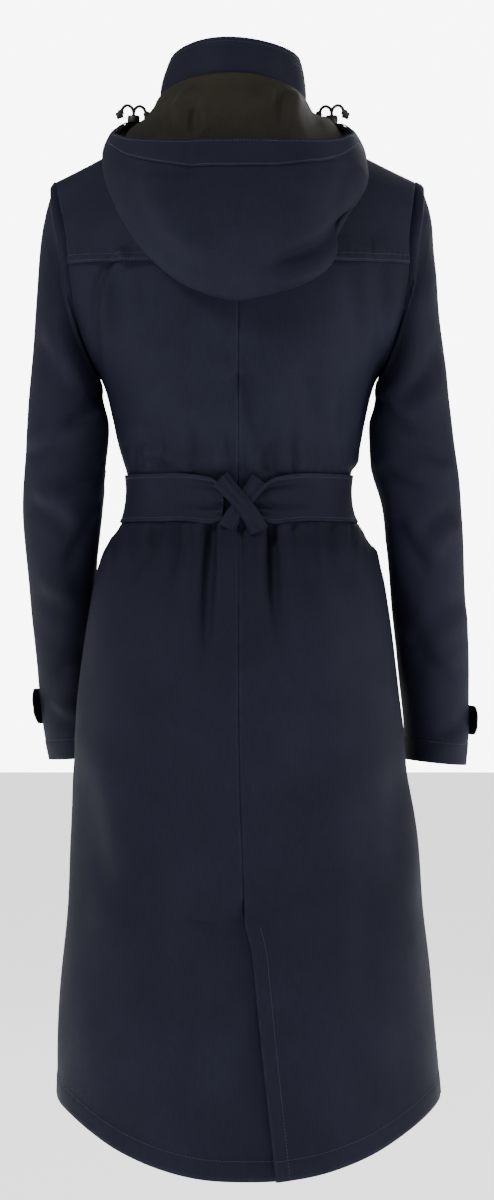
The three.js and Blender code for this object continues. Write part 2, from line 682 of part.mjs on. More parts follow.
// The cord lock that both cord ends pass through.
function cordLock(hand) {
  const profile = [[4.2, 0], [6, 0], [6.8, 2], [6.8, 7], [6, 9], [4.2, 9], [4.2, 0]];
  const place = cordExit(hand);
  place.z += CORD_EXIT.lock;
  return turned(profile, 16, place);
}

// Steps of a cord end's route from its exit: aside, away from its fellow, and up.
const CORD_SPREAD = [
  [0, 0, 0.4],
  [0, 0, 5],
  [0, 0, 11],
  [2, 0.6, 16],
  [6.5, 2, 18.5],
  [11, 3.4, 16.5],
  [13.6, 4.4, 11.5],
];

// The route of a cord end, from its exit through the lock to its free end, which falls aside.
function cordRoute(hand, which) {
  const side = which === 'a' ? 1 : -1;
  const exit = cordExit(hand);
  return CORD_SPREAD.map(([x, y, z]) => new THREE.Vector3(
    exit.x + hand * side * x,
    exit.y + side * (CORD.apart / 2 + y),
    exit.z + z,
  ));
}

function cordEnd(hand, which) {
  const sides = 8;
  const section = new THREE.Shape(Array.from({ length: sides }, (_, i) => new THREE.Vector2(
    CORD.radius * Math.cos(i * 2 * Math.PI / sides),
    CORD.radius * Math.sin(i * 2 * Math.PI / sides),
  )));
  const extrudePath = new THREE.CatmullRomCurve3(cordRoute(hand, which));
  return new THREE.ExtrudeGeometry(section, { steps: 9, bevelEnabled: false, extrudePath });
}

// The knot just past a cord's free end.
function cordKnot(hand, which) {
  const route = cordRoute(hand, which);
  const end = route[route.length - 1];
  const onward = end.clone().sub(route[route.length - 2]).normalize();
  const profile = [[0, 0], [0.8, 0.13], [1, 0.5], [0.8, 0.87], [0, 1]];
  const points = profile.map(([r, h]) => new THREE.Vector2(r * CORD.knot, h * 2 * CORD.knot));
  const knot = new THREE.LatheGeometry(points, 8);
  const turn = new THREE.Quaternion().setFromUnitVectors(new THREE.Vector3(0, 1, 0), onward);
  end.addScaledVector(onward, GAP);
  return knot.applyQuaternion(turn).translate(end.x, end.y, end.z);
}

// ---------------------------------------------------------------- belt

// The belt's stops, once round from the knot past the wearer's left, front and right.
function beltStops() {
  const back = PANEL_COLUMNS.slice(0, -1).map((u) => ({ u, side: 1 }));
  const front = PANEL_COLUMNS.slice(1, -1).map((u) => ({ u, side: -1 }));
  const left = [...back.toReversed(), ...front].map((stop) => ({ ...stop, hand: 1 }));
  const right = [...front.toReversed(), ...back].map((stop) => ({ ...stop, hand: -1 }));
  return [...left, { u: 0, side: -1, hand: -1 }, ...right];
}

// One strip round the waist. Its two ends gather towards the knot at the back.
function belt() {
  const middle = (BELT.top + BELT.bottom) / 2;
  const heights = [BELT.top, middle, BELT.bottom];
  const sheet = (outset) => heights.map((z) => {
    const row = beltStops().map(({ u, side, hand }) => {
      const over = side < 0 && u < 0.2 ? TRIM + LOOSE + LAID : 0;
      return coat(u, z, side, hand, -outset - over);
    });
    const end = (hand, beside) => {
      const p = coat(0, z, 1, hand, -outset);
      p.x = BELT.knotX + hand * BELT.end;
      p.z = middle + (z - middle) * BELT.gathered;
      p.y = Math.max(p.y, beside.y);
      return p;
    };
    return [end(1, row[0]), ...row, end(-1, row[row.length - 1])];
  });
  return wall(sheet(LAID + BELT.wall), sheet(LAID));
}

// A gathered stretch of the belt across the knot: its route, half width and half thickness.
function strand(route, half, thick) {
  const line = new THREE.CatmullRomCurve3(route.map((p) => new THREE.Vector3(...p)));
  const places = steps(0, 1, 8);
  const sides = 10;
  const ring = (share, inset) => Array.from({ length: sides }, (_, i) => {
    const angle = i * 2 * Math.PI / sides;
    const along = line.getTangent(share);
    const across = along.clone().cross(new THREE.Vector3(0, 1, 0)).normalize();
    const out = across.clone().cross(along).normalize();
    return line.getPoint(share)
      .addScaledVector(across, (half - inset) * wave(Math.cos(angle), 0.7))
      .addScaledVector(out, (thick - inset) * wave(Math.sin(angle), 0.7));
  });
  return capped(places.map((share) => ring(share, 0)));
}

// A closed solid through rings of points, its two ends filled flat.
function capped(rings) {
  const count = rings[0].length;
  const middle = (ring) => ring.reduce((sum, p) => sum.add(p), new THREE.Vector3()).divideScalar(count);
  const ends = [middle(rings[0]), middle(rings[rings.length - 1])];
  const positions = [...rings.flat(), ...ends].flatMap((p) => [p.x, p.y, p.z]);
  const index = [];
  for (let r = 0; r < rings.length - 1; r += 1) {
    for (let c = 0; c < count; c += 1) {
      const [a, b] = [r * count + c, r * count + (c + 1) % count];
      index.push(a, b, b + count, a, b + count, a + count);
    }
  }
  const tip = rings.length * count;
  for (let c = 0; c < count; c += 1) {
    const next = (c + 1) % count;
    index.push(tip, next, c, tip + 1, tip - count + c, tip - count + next);
  }
  return facingOut(positions, index);
}

const KNOT_OVER = [[19, 106, -421], [10, 110, -432], [-4, 113.5, -449], [-15, 114.5, -466], [-22, 116, -480]];
const KNOT_UNDER = [[-23, 106, -423], [-14, 106.5, -435], [-4, 107, -449], [6, 108, -463], [12, 112, -475]];

// ---------------------------------------------------------------- the finished coat

const group = new THREE.Group();

const NAVY = { color: '#24293c', roughness: 0.72, metalness: 0 };
const OLIVE = { color: '#2e2a24', roughness: 0.8, metalness: 0 };
const BLACK = { color: '#0c0d10', roughness: 0.6, metalness: 0 };
const METAL = { color: '#3a3b3e', roughness: 0.4, metalness: 1 };

function add(name, geometry, look) {
  const mesh = new THREE.Mesh(geometry, new THREE.MeshStandardMaterial(look));
  mesh.name = name;
  group.add(mesh);
}

add('back_left', backLeft(), NAVY);
add('back_right', backRight(), NAVY);
add('front_left', frontLeft(), NAVY);
add('front_right', frontRight(), NAVY);
add('back_yoke', backYoke(), NAVY);
add('sleeve_left', sleeve(LEFT_SLEEVE, 1), NAVY);
add('sleeve_right', sleeve(RIGHT_SLEEVE, -1), NAVY);
add('cuff_tab_left', cuffTab(LEFT_SLEEVE, 1), NAVY);
add('cuff_tab_right', cuffTab(RIGHT_SLEEVE, -1), NAVY);
add('cuff_stud_left', cuffStud(LEFT_SLEEVE, 1), METAL);
add('cuff_stud_right', cuffStud(RIGHT_SLEEVE, -1), METAL);
add('collar', collar(), NAVY);
add('hood', hoodShell(), NAVY);
add('hood_lining', hoodLining(), OLIVE);
add('hood_hem', hoodHem(), NAVY);
add('placket', placket(), NAVY);
add('belt', belt(), NAVY);
add('knot_over', strand(KNOT_OVER, 7, 1.8), NAVY);
add('knot_under', strand(KNOT_UNDER, 7, 1.8), NAVY);
for (let number = 0; number < STUD.count; number += 1) {
  add(`press_stud_${number + 1}`, frontStud(number), METAL);
}
for (const [name, hand] of [['left', 1], ['right', -1]]) {
  add(`eyelet_${name}`, eyelet(hand), METAL);
  add(`cord_lock_${name}`, cordLock(hand), BLACK);
  for (const which of ['a', 'b']) {
    add(`cord_${name}_${which}`, cordEnd(hand, which), BLACK);
    add(`cord_knot_${name}_${which}`, cordKnot(hand, which), BLACK);
  }
}

export default group;
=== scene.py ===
"""A long hooded raincoat in navy proofed cloth, worn shape, with its hood down and its belt knotted behind."""

import math

import bpy
import numpy as np
from mathutils import Matrix, Vector


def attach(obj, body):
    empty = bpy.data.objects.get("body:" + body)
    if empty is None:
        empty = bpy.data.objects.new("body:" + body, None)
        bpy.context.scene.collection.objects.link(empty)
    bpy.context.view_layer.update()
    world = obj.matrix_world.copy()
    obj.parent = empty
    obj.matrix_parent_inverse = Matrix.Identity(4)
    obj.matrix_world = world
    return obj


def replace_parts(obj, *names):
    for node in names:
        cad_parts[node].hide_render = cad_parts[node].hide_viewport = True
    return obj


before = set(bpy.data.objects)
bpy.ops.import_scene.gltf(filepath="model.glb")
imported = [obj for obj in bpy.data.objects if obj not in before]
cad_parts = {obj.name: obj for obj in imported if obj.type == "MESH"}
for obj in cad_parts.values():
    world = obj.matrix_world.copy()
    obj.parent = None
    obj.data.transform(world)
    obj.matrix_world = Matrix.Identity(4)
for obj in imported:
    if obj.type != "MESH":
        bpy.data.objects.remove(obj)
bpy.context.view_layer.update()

MM = 0.001  # the pattern is worked out in millimetres, and every mesh is in metres

# ------------------------------------------------------------------ the pattern's sizes

GAP = 0.3  # between neighbouring pieces
CLOTH = 1.3  # thickness of the shell cloth as it shows at an edge
LIGHT_CLOTH = 0.7  # thickness of the lining
UNDERLAP = 3.8  # how far an under edge lies below the cloth that laps it
BODY_CENTRE = (0, 0, -600)

NECK_HALF, NECK_DEPTH, NECK_Y, NECK_Z, NECK_TILT = 81, 74, -12, -13, 34
SHOULDER_X, SHOULDER_Y, SHOULDER_DROP, SHOULDER_BEND, SHOULDER_ROUND = 203, -14, 72, 0.8, 130
UNDERARM_Z = -310
ROUNDNESS = 2.3
NECK_SHARE = 0.375
FRONT_OVERLAP = 0.07  # u of the front panels past the middle
SLOPE_ALLOWANCE = 1.15  # how much further down a sloping seam an inset moves

VENT_TOP, VENT_SWING_TOP, VENT_SWING_HEM = -896, 3, 24
HEM_SIDE, HEM_DROP_BACK, HEM_DROP_FRONT, HEM_START = -1105, 72, 18, -880
HEM_TURN, VENT_TURN, VENT_UNDER = 22, 16, 0.125  # the last is u, from the middle to the side
YOKE_EDGE = -186
BELT_TOP, BELT_BOTTOM, BELT_WALL, KNOT_X, BELT_GATHERED = -415, -467, 2.6, -4, 0.62
BELT_MIDDLE, BELT_HALF = (BELT_TOP + BELT_BOTTOM) / 2, (BELT_TOP - BELT_BOTTOM) / 2


def ease(value):
    """A share held between 0 and 1 that sets off and arrives gently."""
    held = np.clip(value, 0, 1)
    return held * held * (3 - 2 * held)


def mix(a, b, share):
    return a + (b - a) * share


def hump(value):
    """A smooth swelling that is 1 in the middle and dies away on both sides."""
    return np.exp(-np.square(value))


class Chart:
    """A short table of sizes, read as a smooth curve through each of its columns."""

    def __init__(self, columns, rows):
        values = np.array(rows, float)
        if values[0, 0] > values[-1, 0]:
            values = values[::-1]
        self.key = values[:, 0]
        self.columns = {name: values[:, i] for i, name in enumerate(columns)}

    def read(self, column, place):
        return through(self.key, self.columns[column], place)


def through(key, values, place):
    """A smooth curve through values that stand at the places in key."""
    at = np.clip(place, key[0], key[-1])
    i = np.clip(np.searchsorted(key, at) - 1, 0, len(key) - 2)
    before, after = np.maximum(i - 1, 0), np.minimum(i + 2, len(key) - 1)
    span = key[i + 1] - key[i]
    share = (at - key[i]) / span
    if values.ndim > 1:
        extra = (...,) + (None,) * (values.ndim - 1)
        span, share = span[extra], share[extra]
        reach_a, reach_b = (key[i + 1] - key[before])[extra], (key[after] - key[i])[extra]
    else:
        reach_a, reach_b = key[i + 1] - key[before], key[after] - key[i]
    slope_a = (values[i + 1] - values[before]) / reach_a * span
    slope_b = (values[after] - values[i]) / reach_b * span
    s2 = share * share
    s3 = s2 * share
    return (
        values[i] * (2 * s3 - 3 * s2 + 1) + slope_a * (s3 - 2 * s2 + share)
        + values[i + 1] * (3 * s2 - 2 * s3) + slope_b * (s3 - s2)
    )


BODY = Chart(
    ["z", "half", "back", "front", "shift"],
    [
        [40, 226, 96, 104, 9],
        [0, 223, 103, 110, 8],
        [-60, 220, 112, 119, 5],
        [-140, 214, 119, 127, 2],
        [-190, 207, 123, 131, 0],
        [-230, 198, 124, 133, 0],
        [-275, 176, 124, 133, 0],
        [-310, 153, 122, 131, 0],
        [-353, 141, 116, 126, 0],
        [-385, 134, 109, 118, 0],
        [-410, 126, 102, 110, 0],
        [-435, 123, 98, 106, 0],
        [-460, 127, 100, 108, 0],
        [-478, 138, 107, 113, 0],
        [-502, 153, 124, 121, 0],
        [-554, 166, 147, 134, 0],
        [-640, 177, 162, 144, 0],
        [-743, 186, 171, 152, -1],
        [-890, 197, 181, 164, -6],
        [-1002, 208, 190, 174, -8],
        [-1105, 215, 197, 182, -11],
        [-1190, 219, 201, 186, -12],
    ],
)

ARMHOLE = Chart(
    ["down", "back", "front"],
    [
        [0, 202, 202],
        [0.12, 197, 195],
        [0.3, 190, 183],
        [0.5, 187, 177],
        [0.72, 179, 172],
        [0.88, 167, 164],
        [1, 153, 153],
    ],
)

# Soft folds that run down the coat: where they start and end, their half width and their depth.
BACK_FOLDS = [
    [29, 36, -468, -640, 16, -7],
    [-35, -40, -468, -630, 15, -7],
    [-3, -4, -470, -600, 22, 4],
    [78, 96, -470, -700, 26, 3],
    [-84, -104, -470, -760, 26, 3],
    [120, 150, -620, -1060, 30, 5],
    [-122, -160, -620, -1060, 30, 5],
    [62, 84, -700, -1080, 34, -4],
    [-62, -96, -700, -1080, 34, -4],
    [2, -24, -290, -412, 20, -4],
    [46, 66, -330, -408, 22, 3],
    [-66, -84, -250, -408, 20, -3],
]
FRONT_FOLDS = [
    [52, 70, -470, -700, 20, -6],
    [-54, -72, -470, -690, 20, -6],
    [96, 132, -560, -1040, 30, 5],
    [-98, -136, -580, -1040, 30, 5],
    [60, 70, -300, -408, 22, -3],
    [-58, -66, -310, -408, 22, -3],
]

# Creases: start, middle and end as (x, z), half width, depth of the trough, height of
# the roll beside it, and how strong it already is at its start.
BACK_CREASES = [
    [-2, -262, -16, -350, -32, -412, 10, 2.2, 1.2, 0.1],
    [-30, -412, -30, -398, -34, -378, 6, 3.0, 1.2, 1.0],
    [-64, -292, -84, -350, -98, -406, 11, 2.0, 1.4, 0.1],
    [-118, -330, -112, -370, -104, -410, 8, 1.4, 0.9, 0.1],
    [112, -398, 88, -404, 60, -412, 6, 2.0, 1.8, 0.2],
    [128, -392, 108, -380, 78, -372, 9, 1.3, 1.2, 0.1],
    [84, -408, 92, -370, 104, -330, 9, 1.5, 1.0, 1.0],
    [40, -412, 44, -380, 52, -346, 8, 1.6, 1.0, 1.0],
    [8, -412, 12, -384, 18, -350, 7, 1.6, 1.0, 1.0],
    [-60, -412, -58, -384, -52, -356, 6, 1.3, 0.8, 1.0],
    [138, -180, 157, -230, 152, -320, 6, 2.6, 2.0, 1.0],
    [140, -186, 132, -236, 128, -300, 10, 1.2, 0.8, 0.6],
    [-152, -190, -158, -250, -150, -330, 10, 2.4, 1.4, 0.6],
    [-120, -186, -130, -250, -136, -300, 12, 1.2, 0.8, 0.5],
    [29, -470, 33, -540, 37, -650, 7, 3.4, 1.6, 1.0],
    [-35, -470, -37, -520, -42, -640, 7, 3.6, 1.6, 1.0],
    [-10, -474, -8, -510, -6, -560, 8, 1.6, 1.2, 1.0],
    [56, -472, 64, -510, 78, -560, 8, 1.6, 1.2, 1.0],
    [88, -470, 102, -505, 122, -545, 8, 1.6, 1.2, 1.0],
    [-62, -472, -70, -516, -84, -570, 8, 1.7, 1.2, 1.0],
    [-96, -470, -110, -508, -132, -556, 9, 1.6, 1.2, 1.0],
    [186, -700, 160, -810, 136, -900, 20, 2.4, 2.2, 0.1],
    [-134, -750, -142, -900, -136, -1060, 22, 2.6, 2.2, 0.1],
    [-176, -720, -172, -810, -166, -900, 16, 2.0, 1.6, 0.1],
    [96, -760, 84, -900, 80, -1040, 24, 1.8, 1.6, 0.1],
    [-8, -690, -10, -790, -12, -885, 10, 1.0, 0.8, 0.1],
    [30, -960, 44, -1040, 52, -1140, 18, 1.8, 1.6, 0.1],
]
FRONT_CREASES = [
    [52, -412, 58, -370, 66, -320, 8, 1.8, 1.2, 1.0],
    [86, -410, 98, -370, 108, -326, 8, 1.6, 1.0, 1.0],
    [-50, -412, -56, -372, -62, -326, 8, 1.8, 1.2, 1.0],
    [-88, -410, -100, -368, -112, -328, 9, 1.5, 1.0, 1.0],
    [30, -472, 36, -520, 44, -600, 8, 2.2, 1.4, 1.0],
    [70, -472, 84, -520, 104, -590, 8, 2.0, 1.4, 1.0],
    [-32, -472, -38, -526, -46, -610, 8, 2.2, 1.4, 1.0],
    [-74, -472, -88, -516, -110, -580, 9, 2.0, 1.4, 1.0],
    [150, -200, 148, -260, 136, -320, 9, 2.0, 1.4, 0.6],
    [-150, -196, -150, -256, -138, -322, 9, 2.0, 1.4, 0.6],
    [110, -700, 124, -850, 130, -1020, 22, 2.6, 2.0, 0.1],
    [-104, -680, -120, -840, -132, -1010, 22, 2.6, 2.0, 0.1],
    [56, -800, 62, -920, 66, -1050, 20, 1.6, 1.4, 0.1],
    [-60, -820, -64, -940, -70, -1060, 20, 1.6, 1.4, 0.1],
    [90, -90, 110, -150, 120, -220, 14, 1.4, 1.2, 0.1],
    [-92, -94, -112, -150, -118, -214, 14, 1.4, 1.2, 0.1],
]


FOLD_STRENGTH = 2.1
PATH_STEPS = 13


def creases(x, z, rows):
    """How far the listed creases push the cloth out at a place."""
    total = np.zeros(np.broadcast(x, z).shape)
    t = np.linspace(0, 1, PATH_STEPS)[:, None]
    for x0, z0, x1, z1, x2, z2, width, depth, roll, start in rows:
        first, middle, last = np.array([x0, z0]), np.array([x1, z1]), np.array([x2, z2])
        bend = 2 * middle - (first + last) / 2
        path = (1 - t) ** 2 * first + 2 * t * (1 - t) * bend + t * t * last
        near, side, along = np.full(total.shape, np.inf), np.zeros(total.shape), np.zeros(total.shape)
        for k in range(len(path) - 1):
            a, step = path[k], path[k + 1] - path[k]
            length = step @ step
            share = np.clip(((x - a[0]) * step[0] + (z - a[1]) * step[1]) / length, 0, 1)
            dx, dz = x - a[0] - share * step[0], z - a[1] - share * step[1]
            far = np.hypot(dx, dz)
            closer = far < near
            near = np.where(closer, far, near)
            side = np.where(closer, np.sign(dx * step[1] - dz * step[0]) * far, side)
            along = np.where(closer, (k + share) / (len(path) - 1), along)
        fade = mix(ease(along / 0.25), 1, start) * ease((1 - along) / 0.45)
        trough = hump(near / width)
        beside = hump((side - 1.7 * width) / (1.3 * width))
        total += fade * (roll * beside - depth * trough) * FOLD_STRENGTH
    return total


def rumple(x, y, z, size=1.0):
    """The slight unevenness of cloth that has been worn: long, soft, and never quite flat."""
    a = np.sin(x / 31 + 1.3 * np.sin(z / 83)) * np.sin(z / 97 + 0.7 * np.sin(y / 47))
    b = np.sin(x / 17 - z / 61 + 2.1) * np.sin(y / 23 + z / 71)
    c = np.sin(x / 11 + z / 29 + 0.4) * np.sin(z / 37 - y / 19)
    return size * (0.55 * a + 0.3 * b + 0.15 * c)


# ------------------------------------------------------------------ the coat's body


def neckline(angle):
    """The neckline at an angle from the centre back."""
    return np.stack([
        NECK_HALF * np.sin(angle),
        NECK_Y + NECK_DEPTH * np.cos(angle),
        NECK_Z + NECK_TILT * np.cos(angle),
    ], -1)


def top_edge(x, side):
    """Depth and height of a panel's top edge, neckline and then shoulder seam."""
    far = np.abs(x)
    angle = np.arcsin(np.clip(far / NECK_HALF, 0, 1))
    angle = np.where(side > 0, angle, math.pi - angle)
    share = np.maximum(0, (far - NECK_HALF) / (SHOULDER_X - NECK_HALF))
    y = np.where(far <= NECK_HALF, NECK_Y + NECK_DEPTH * np.cos(angle),
                 mix(NECK_Y, SHOULDER_Y, np.clip(share, 0, 1)))
    z = np.where(far <= NECK_HALF, NECK_Z + NECK_TILT * np.cos(angle),
                 NECK_Z - SHOULDER_DROP * share ** SHOULDER_BEND)
    return y, z


def fold_height(x, z, side):
    """How far the long soft folds stand out from the lower part of the coat."""
    total = np.zeros(np.broadcast(x, z).shape)
    for x_top, x_end, top, end, width, depth in (BACK_FOLDS if side > 0 else FRONT_FOLDS):
        down = np.clip((top - z) / (top - end), 0, 1)
        off = (x - mix(x_top, x_end, down)) / width
        total += depth * hump(off) * np.sin(math.pi * np.sqrt(down)) ** 2
    return total


def coat_depth(x, z, side, inset):
    """How far behind or before the middle the coat stands, above the underarm."""
    half = BODY.read("half", z) - inset
    deep = np.where(side > 0, BODY.read("back", z), BODY.read("front", z)) - inset
    across = np.minimum(1, np.abs(x) / half)
    ring = side * deep * (1 - across ** ROUNDNESS) ** (1 / ROUNDNESS)
    edge_y, edge_z = top_edge(x, side)
    down = (edge_z - inset * SLOPE_ALLOWANCE - z) / SHOULDER_ROUND
    bend = 1.5 + 0.5 * np.clip(np.abs(x) / 120, 0, 1)
    share = (1 - (1 - np.clip(down, 0, 1)) ** bend) ** (1 / bend)
    return np.where(down >= 1, ring, mix(edge_y, ring, share))


def coat(u, v, side, hand, inset=0.0):
    """A point of the coat: u from the middle (0) to the side or armhole (1); v from the top edge (0)
    to the underarm (1), and a height, a negative number, below that."""
    u, v = np.broadcast_arrays(np.asarray(u, float), np.asarray(v, float))
    power = 2 / ROUNDNESS
    low = v < 0
    height = np.where(low, v, UNDERARM_Z)
    down = np.where(low, 1, v)
    angle = u * math.pi / 2
    half = BODY.read("half", height) - inset
    deep = BODY.read("back" if side > 0 else "front", height) - inset
    ring_x = half * np.sign(np.sin(angle)) * np.abs(np.sin(angle)) ** power
    ring_y = side * deep * np.sign(np.cos(angle)) * np.abs(np.cos(angle)) ** power
    far = np.abs(u)
    neck = np.minimum(1, far / NECK_SHARE)
    shoulder = np.maximum(0, (far - NECK_SHARE) / (1 - NECK_SHARE))
    top_x = np.where(far <= NECK_SHARE, NECK_HALF * np.sin(neck * math.pi / 2),
                     mix(NECK_HALF, SHOULDER_X, shoulder))
    ring_share = np.sin(np.minimum(far, 1) * math.pi / 2) ** power
    edge_x = ARMHOLE.read("back" if side > 0 else "front", down) - inset * down ** 3
    up_x = edge_x * mix(top_x / SHOULDER_X, ring_share, down)
    edge_y, edge_z = top_edge(top_x, side)
    up_z = mix(edge_z - inset * SLOPE_ALLOWANCE, UNDERARM_Z, down)
    up_y = np.where(down == 0, edge_y, coat_depth(up_x, up_z, side, inset))
    x = np.where(low, ring_x, up_x * np.where(u < 0, -1, 1)) * hand
    y = np.where(low, ring_y, up_y)
    z = np.where(low, height, up_z)
    push = np.where(low, fold_height(x, z, side), 0)
    length = np.hypot(x / 2, y)
    out_x, out_y = x / 2 / length, y / length
    drop = HEM_DROP_BACK if side > 0 else HEM_DROP_FRONT
    share = np.clip((HEM_START - v) / (HEM_START - HEM_SIDE), 0, None)
    fall = np.where(low & (v < HEM_START), drop * share * np.abs(np.cos(angle)) ** 2.2, 0)
    shift = BODY.read("shift", z)
    return np.stack([
        x + out_x * push + shift + hand * GAP / 2,
        y + out_y * push + side * GAP / 2,
        z - fall,
    ], -1)


# ------------------------------------------------------------------ cloth from grids of points


def directions(points, closed=False):
    """Unit vectors square to a grid of points, and which way round they stand."""
    down = np.gradient(points, axis=0)
    if closed:
        across = np.roll(points, -1, 1) - np.roll(points, 1, 1)
    else:
        across = np.gradient(points, axis=1)
    square = np.cross(down, across)
    return square / np.maximum(np.linalg.norm(square, axis=-1, keepdims=True), 1e-9)


def outwards(points, centre, closed=False):
    """Unit vectors square to the cloth that point away from a centre."""
    square = directions(points, closed)
    away = points - np.array(centre)
    if (square * away).sum() < 0:
        square = -square
    return square


def reaches(points, axis):
    """Each point's distance along the cloth from the grid's two opposite edges."""
    steps = np.linalg.norm(np.diff(points, axis=axis), axis=-1)
    start = np.concatenate([np.zeros_like(np.take(steps, [0], axis)), np.cumsum(steps, axis)], axis)
    return start, np.take(start, [-1], axis) - start


def wall(name, outer, inner, finish, closed=False):
    """A closed wall of cloth between two grids of points, with a UV map in true metres."""
    rows, columns = outer.shape[:2]
    last = columns if closed else columns - 1
    r, c = np.meshgrid(np.arange(rows - 1), np.arange(last), indexing="ij")
    after = (c + 1) % columns
    corners = [r * columns + c, r * columns + after, (r + 1) * columns + after, (r + 1) * columns + c]
    front = np.stack(corners, -1).reshape(-1, 4)
    size = rows * columns
    tops, ends = np.arange(last), (np.arange(last) + 1) % columns
    rims = [np.stack([tops, tops + size, ends + size, ends], -1)]
    foot = (rows - 1) * columns
    rims.append(np.stack([foot + ends, foot + ends + size, foot + tops + size, foot + tops], -1))
    if not closed:
        a, b = np.arange(rows - 1) * columns, np.arange(1, rows) * columns
        rims.append(np.stack([b, b + size, a + size, a], -1))
        rims.append(np.stack([a + last, a + last + size, b + last + size, b + last], -1))
    faces = np.concatenate([front, front[:, ::-1] + size, *rims])
    if (directions(outer, closed) * (outer - inner)).sum() > 0:
        faces = faces[:, ::-1]
    points = np.concatenate([outer.reshape(-1, 3), inner.reshape(-1, 3)]) * MM
    mesh = bpy.data.meshes.new(name)
    mesh.from_pydata(points.tolist(), [], faces.tolist())
    width, _ = reaches(np.concatenate([outer, outer[:, :1]], 1) if closed else outer, 1)
    length, _ = reaches(outer, 0)
    if closed:
        length = np.concatenate([length, length[:, :1]], 1)
    held = np.stack([width * MM, length * MM], -1)
    corner = faces % size
    row, column = corner // columns, corner % columns
    if closed:
        wraps = (column.max(1) == columns - 1) & (column.min(1) == 0)
        column = np.where(wraps[:, None] & (column == 0), columns, column)
    uv = held[row, column].reshape(-1, 2)
    layer = mesh.uv_layers.new(name="cloth")
    layer.data.foreach_set("uv", uv.astype(np.float32).ravel())
    near = np.minimum(*reaches(outer, 0))
    if not closed:
        near = np.minimum(near, np.minimum(*reaches(outer, 1)))
    worn = np.tile(hump(near / 2.5).ravel(), 2)
    mesh.attributes.new("wear", "FLOAT", "POINT").data.foreach_set("value", worn.astype(np.float32))
    mesh.polygons.foreach_set("use_smooth", np.ones(len(faces), bool))
    mesh.materials.append(finish)
    return placed(name, mesh)


def placed(name, mesh):
    """Puts a mesh in the scene as a piece of the coat."""
    piece = bpy.data.objects.new(name, mesh)
    bpy.context.scene.collection.objects.link(piece)
    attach(piece, "root")
    return piece


def run_in(points, out, edge, distance):
    """The line that lies a distance in from one edge of a cloth, and the way it faces."""
    turned = {
        "top": lambda g: g,
        "bottom": lambda g: g[::-1],
        "left": lambda g: g.swapaxes(0, 1),
        "right": lambda g: g.swapaxes(0, 1)[::-1],
    }[edge]
    grid, facing = turned(points), turned(out)
    reach, _ = reaches(grid, 0)
    line, face = [], []
    for j in range(grid.shape[1]):
        i = min(max(np.searchsorted(reach[:, j], distance), 1), len(reach) - 1)
        share = (distance - reach[i - 1, j]) / max(reach[i, j] - reach[i - 1, j], 1e-6)
        line.append(mix(grid[i - 1, j], grid[i, j], share))
        face.append(mix(facing[i - 1, j], facing[i, j], share))
    return np.array(line), np.array(face)


STITCH_PITCH, STITCH_LONG, STITCH_THICK, STITCH_SIDES = 3.6, 2.7, 0.34, 5
# Each ring of a stitch: its share of the stitch's length, its size, and how far it stands proud.
STITCH_RINGS = ((0, 0.3, -0.25), (0.2, 0.9, 0.1), (0.8, 0.9, 0.1), (1, 0.3, -0.25))


def stitched(name, lines):
    """Rows of thread that stand a little proud of the cloth, as one joined mesh."""
    points, faces, count = [], [], 0
    turns = np.arange(STITCH_SIDES) * 2 * math.pi / STITCH_SIDES
    for line, face in lines:
        reach = np.concatenate([[0], np.cumsum(np.linalg.norm(np.diff(line, axis=0), axis=1))])
        starts = np.arange(STITCH_PITCH / 2, reach[-1] - STITCH_LONG, STITCH_PITCH)

        def at(where, values):
            return np.stack([np.interp(where, reach, values[:, k]) for k in range(3)], -1)

        up = at(starts + STITCH_LONG / 2, face)
        up /= np.linalg.norm(up, axis=1, keepdims=True)
        along = at(starts + STITCH_LONG, line) - at(starts, line)
        along /= np.linalg.norm(along, axis=1, keepdims=True)
        across = np.cross(along, up)
        around = across[:, None] * np.cos(turns)[:, None] + up[:, None] * np.sin(turns)[:, None]
        rings = [
            (at(starts + STITCH_LONG * share, line) + up * lift)[:, None] + around * STITCH_THICK * size
            for share, size, lift in STITCH_RINGS
        ]
        points.append(np.stack(rings, 1).reshape(-1, 3))
        corners = STITCH_SIDES * len(STITCH_RINGS)
        first = count + np.arange(len(starts))[:, None] * corners
        for ring in range(0, corners - STITCH_SIDES, STITCH_SIDES):
            for turn in range(STITCH_SIDES):
                a, b = ring + turn, ring + (turn + 1) % STITCH_SIDES
                faces += (first + np.array([a, b, b + STITCH_SIDES, a + STITCH_SIDES])).tolist()
        faces += (first + np.arange(STITCH_SIDES)[::-1]).tolist()
        faces += (first + np.arange(corners - STITCH_SIDES, corners)).tolist()
        count += corners * len(starts)
    mesh = bpy.data.meshes.new(name)
    mesh.from_pydata((np.concatenate(points) * MM).tolist(), [], faces)
    mesh.polygons.foreach_set("use_smooth", np.ones(len(mesh.polygons), bool))
    mesh.materials.append(THREAD)
    placed(name, mesh)


# ------------------------------------------------------------------ finishes


class Value:
    """A socket of a finish's nodes, worked with as if it were a number."""

    def __init__(self, finish, socket):
        self.finish = finish
        self.socket = socket

    def maths(self, operation, a, b=None):
        return self.finish.node("ShaderNodeMath", {"operation": operation}, {0: a, 1: b})

    def __add__(self, other):
        return self.maths("ADD", self, other)

    def __radd__(self, other):
        return self.maths("ADD", other, self)

    def __sub__(self, other):
        return self.maths("SUBTRACT", self, other)

    def __rsub__(self, other):
        return self.maths("SUBTRACT", other, self)

    def __mul__(self, other):
        return self.maths("MULTIPLY", self, other)

    def __rmul__(self, other):
        return self.maths("MULTIPLY", other, self)

    def sine(self):
        return self.maths("SINE", self)


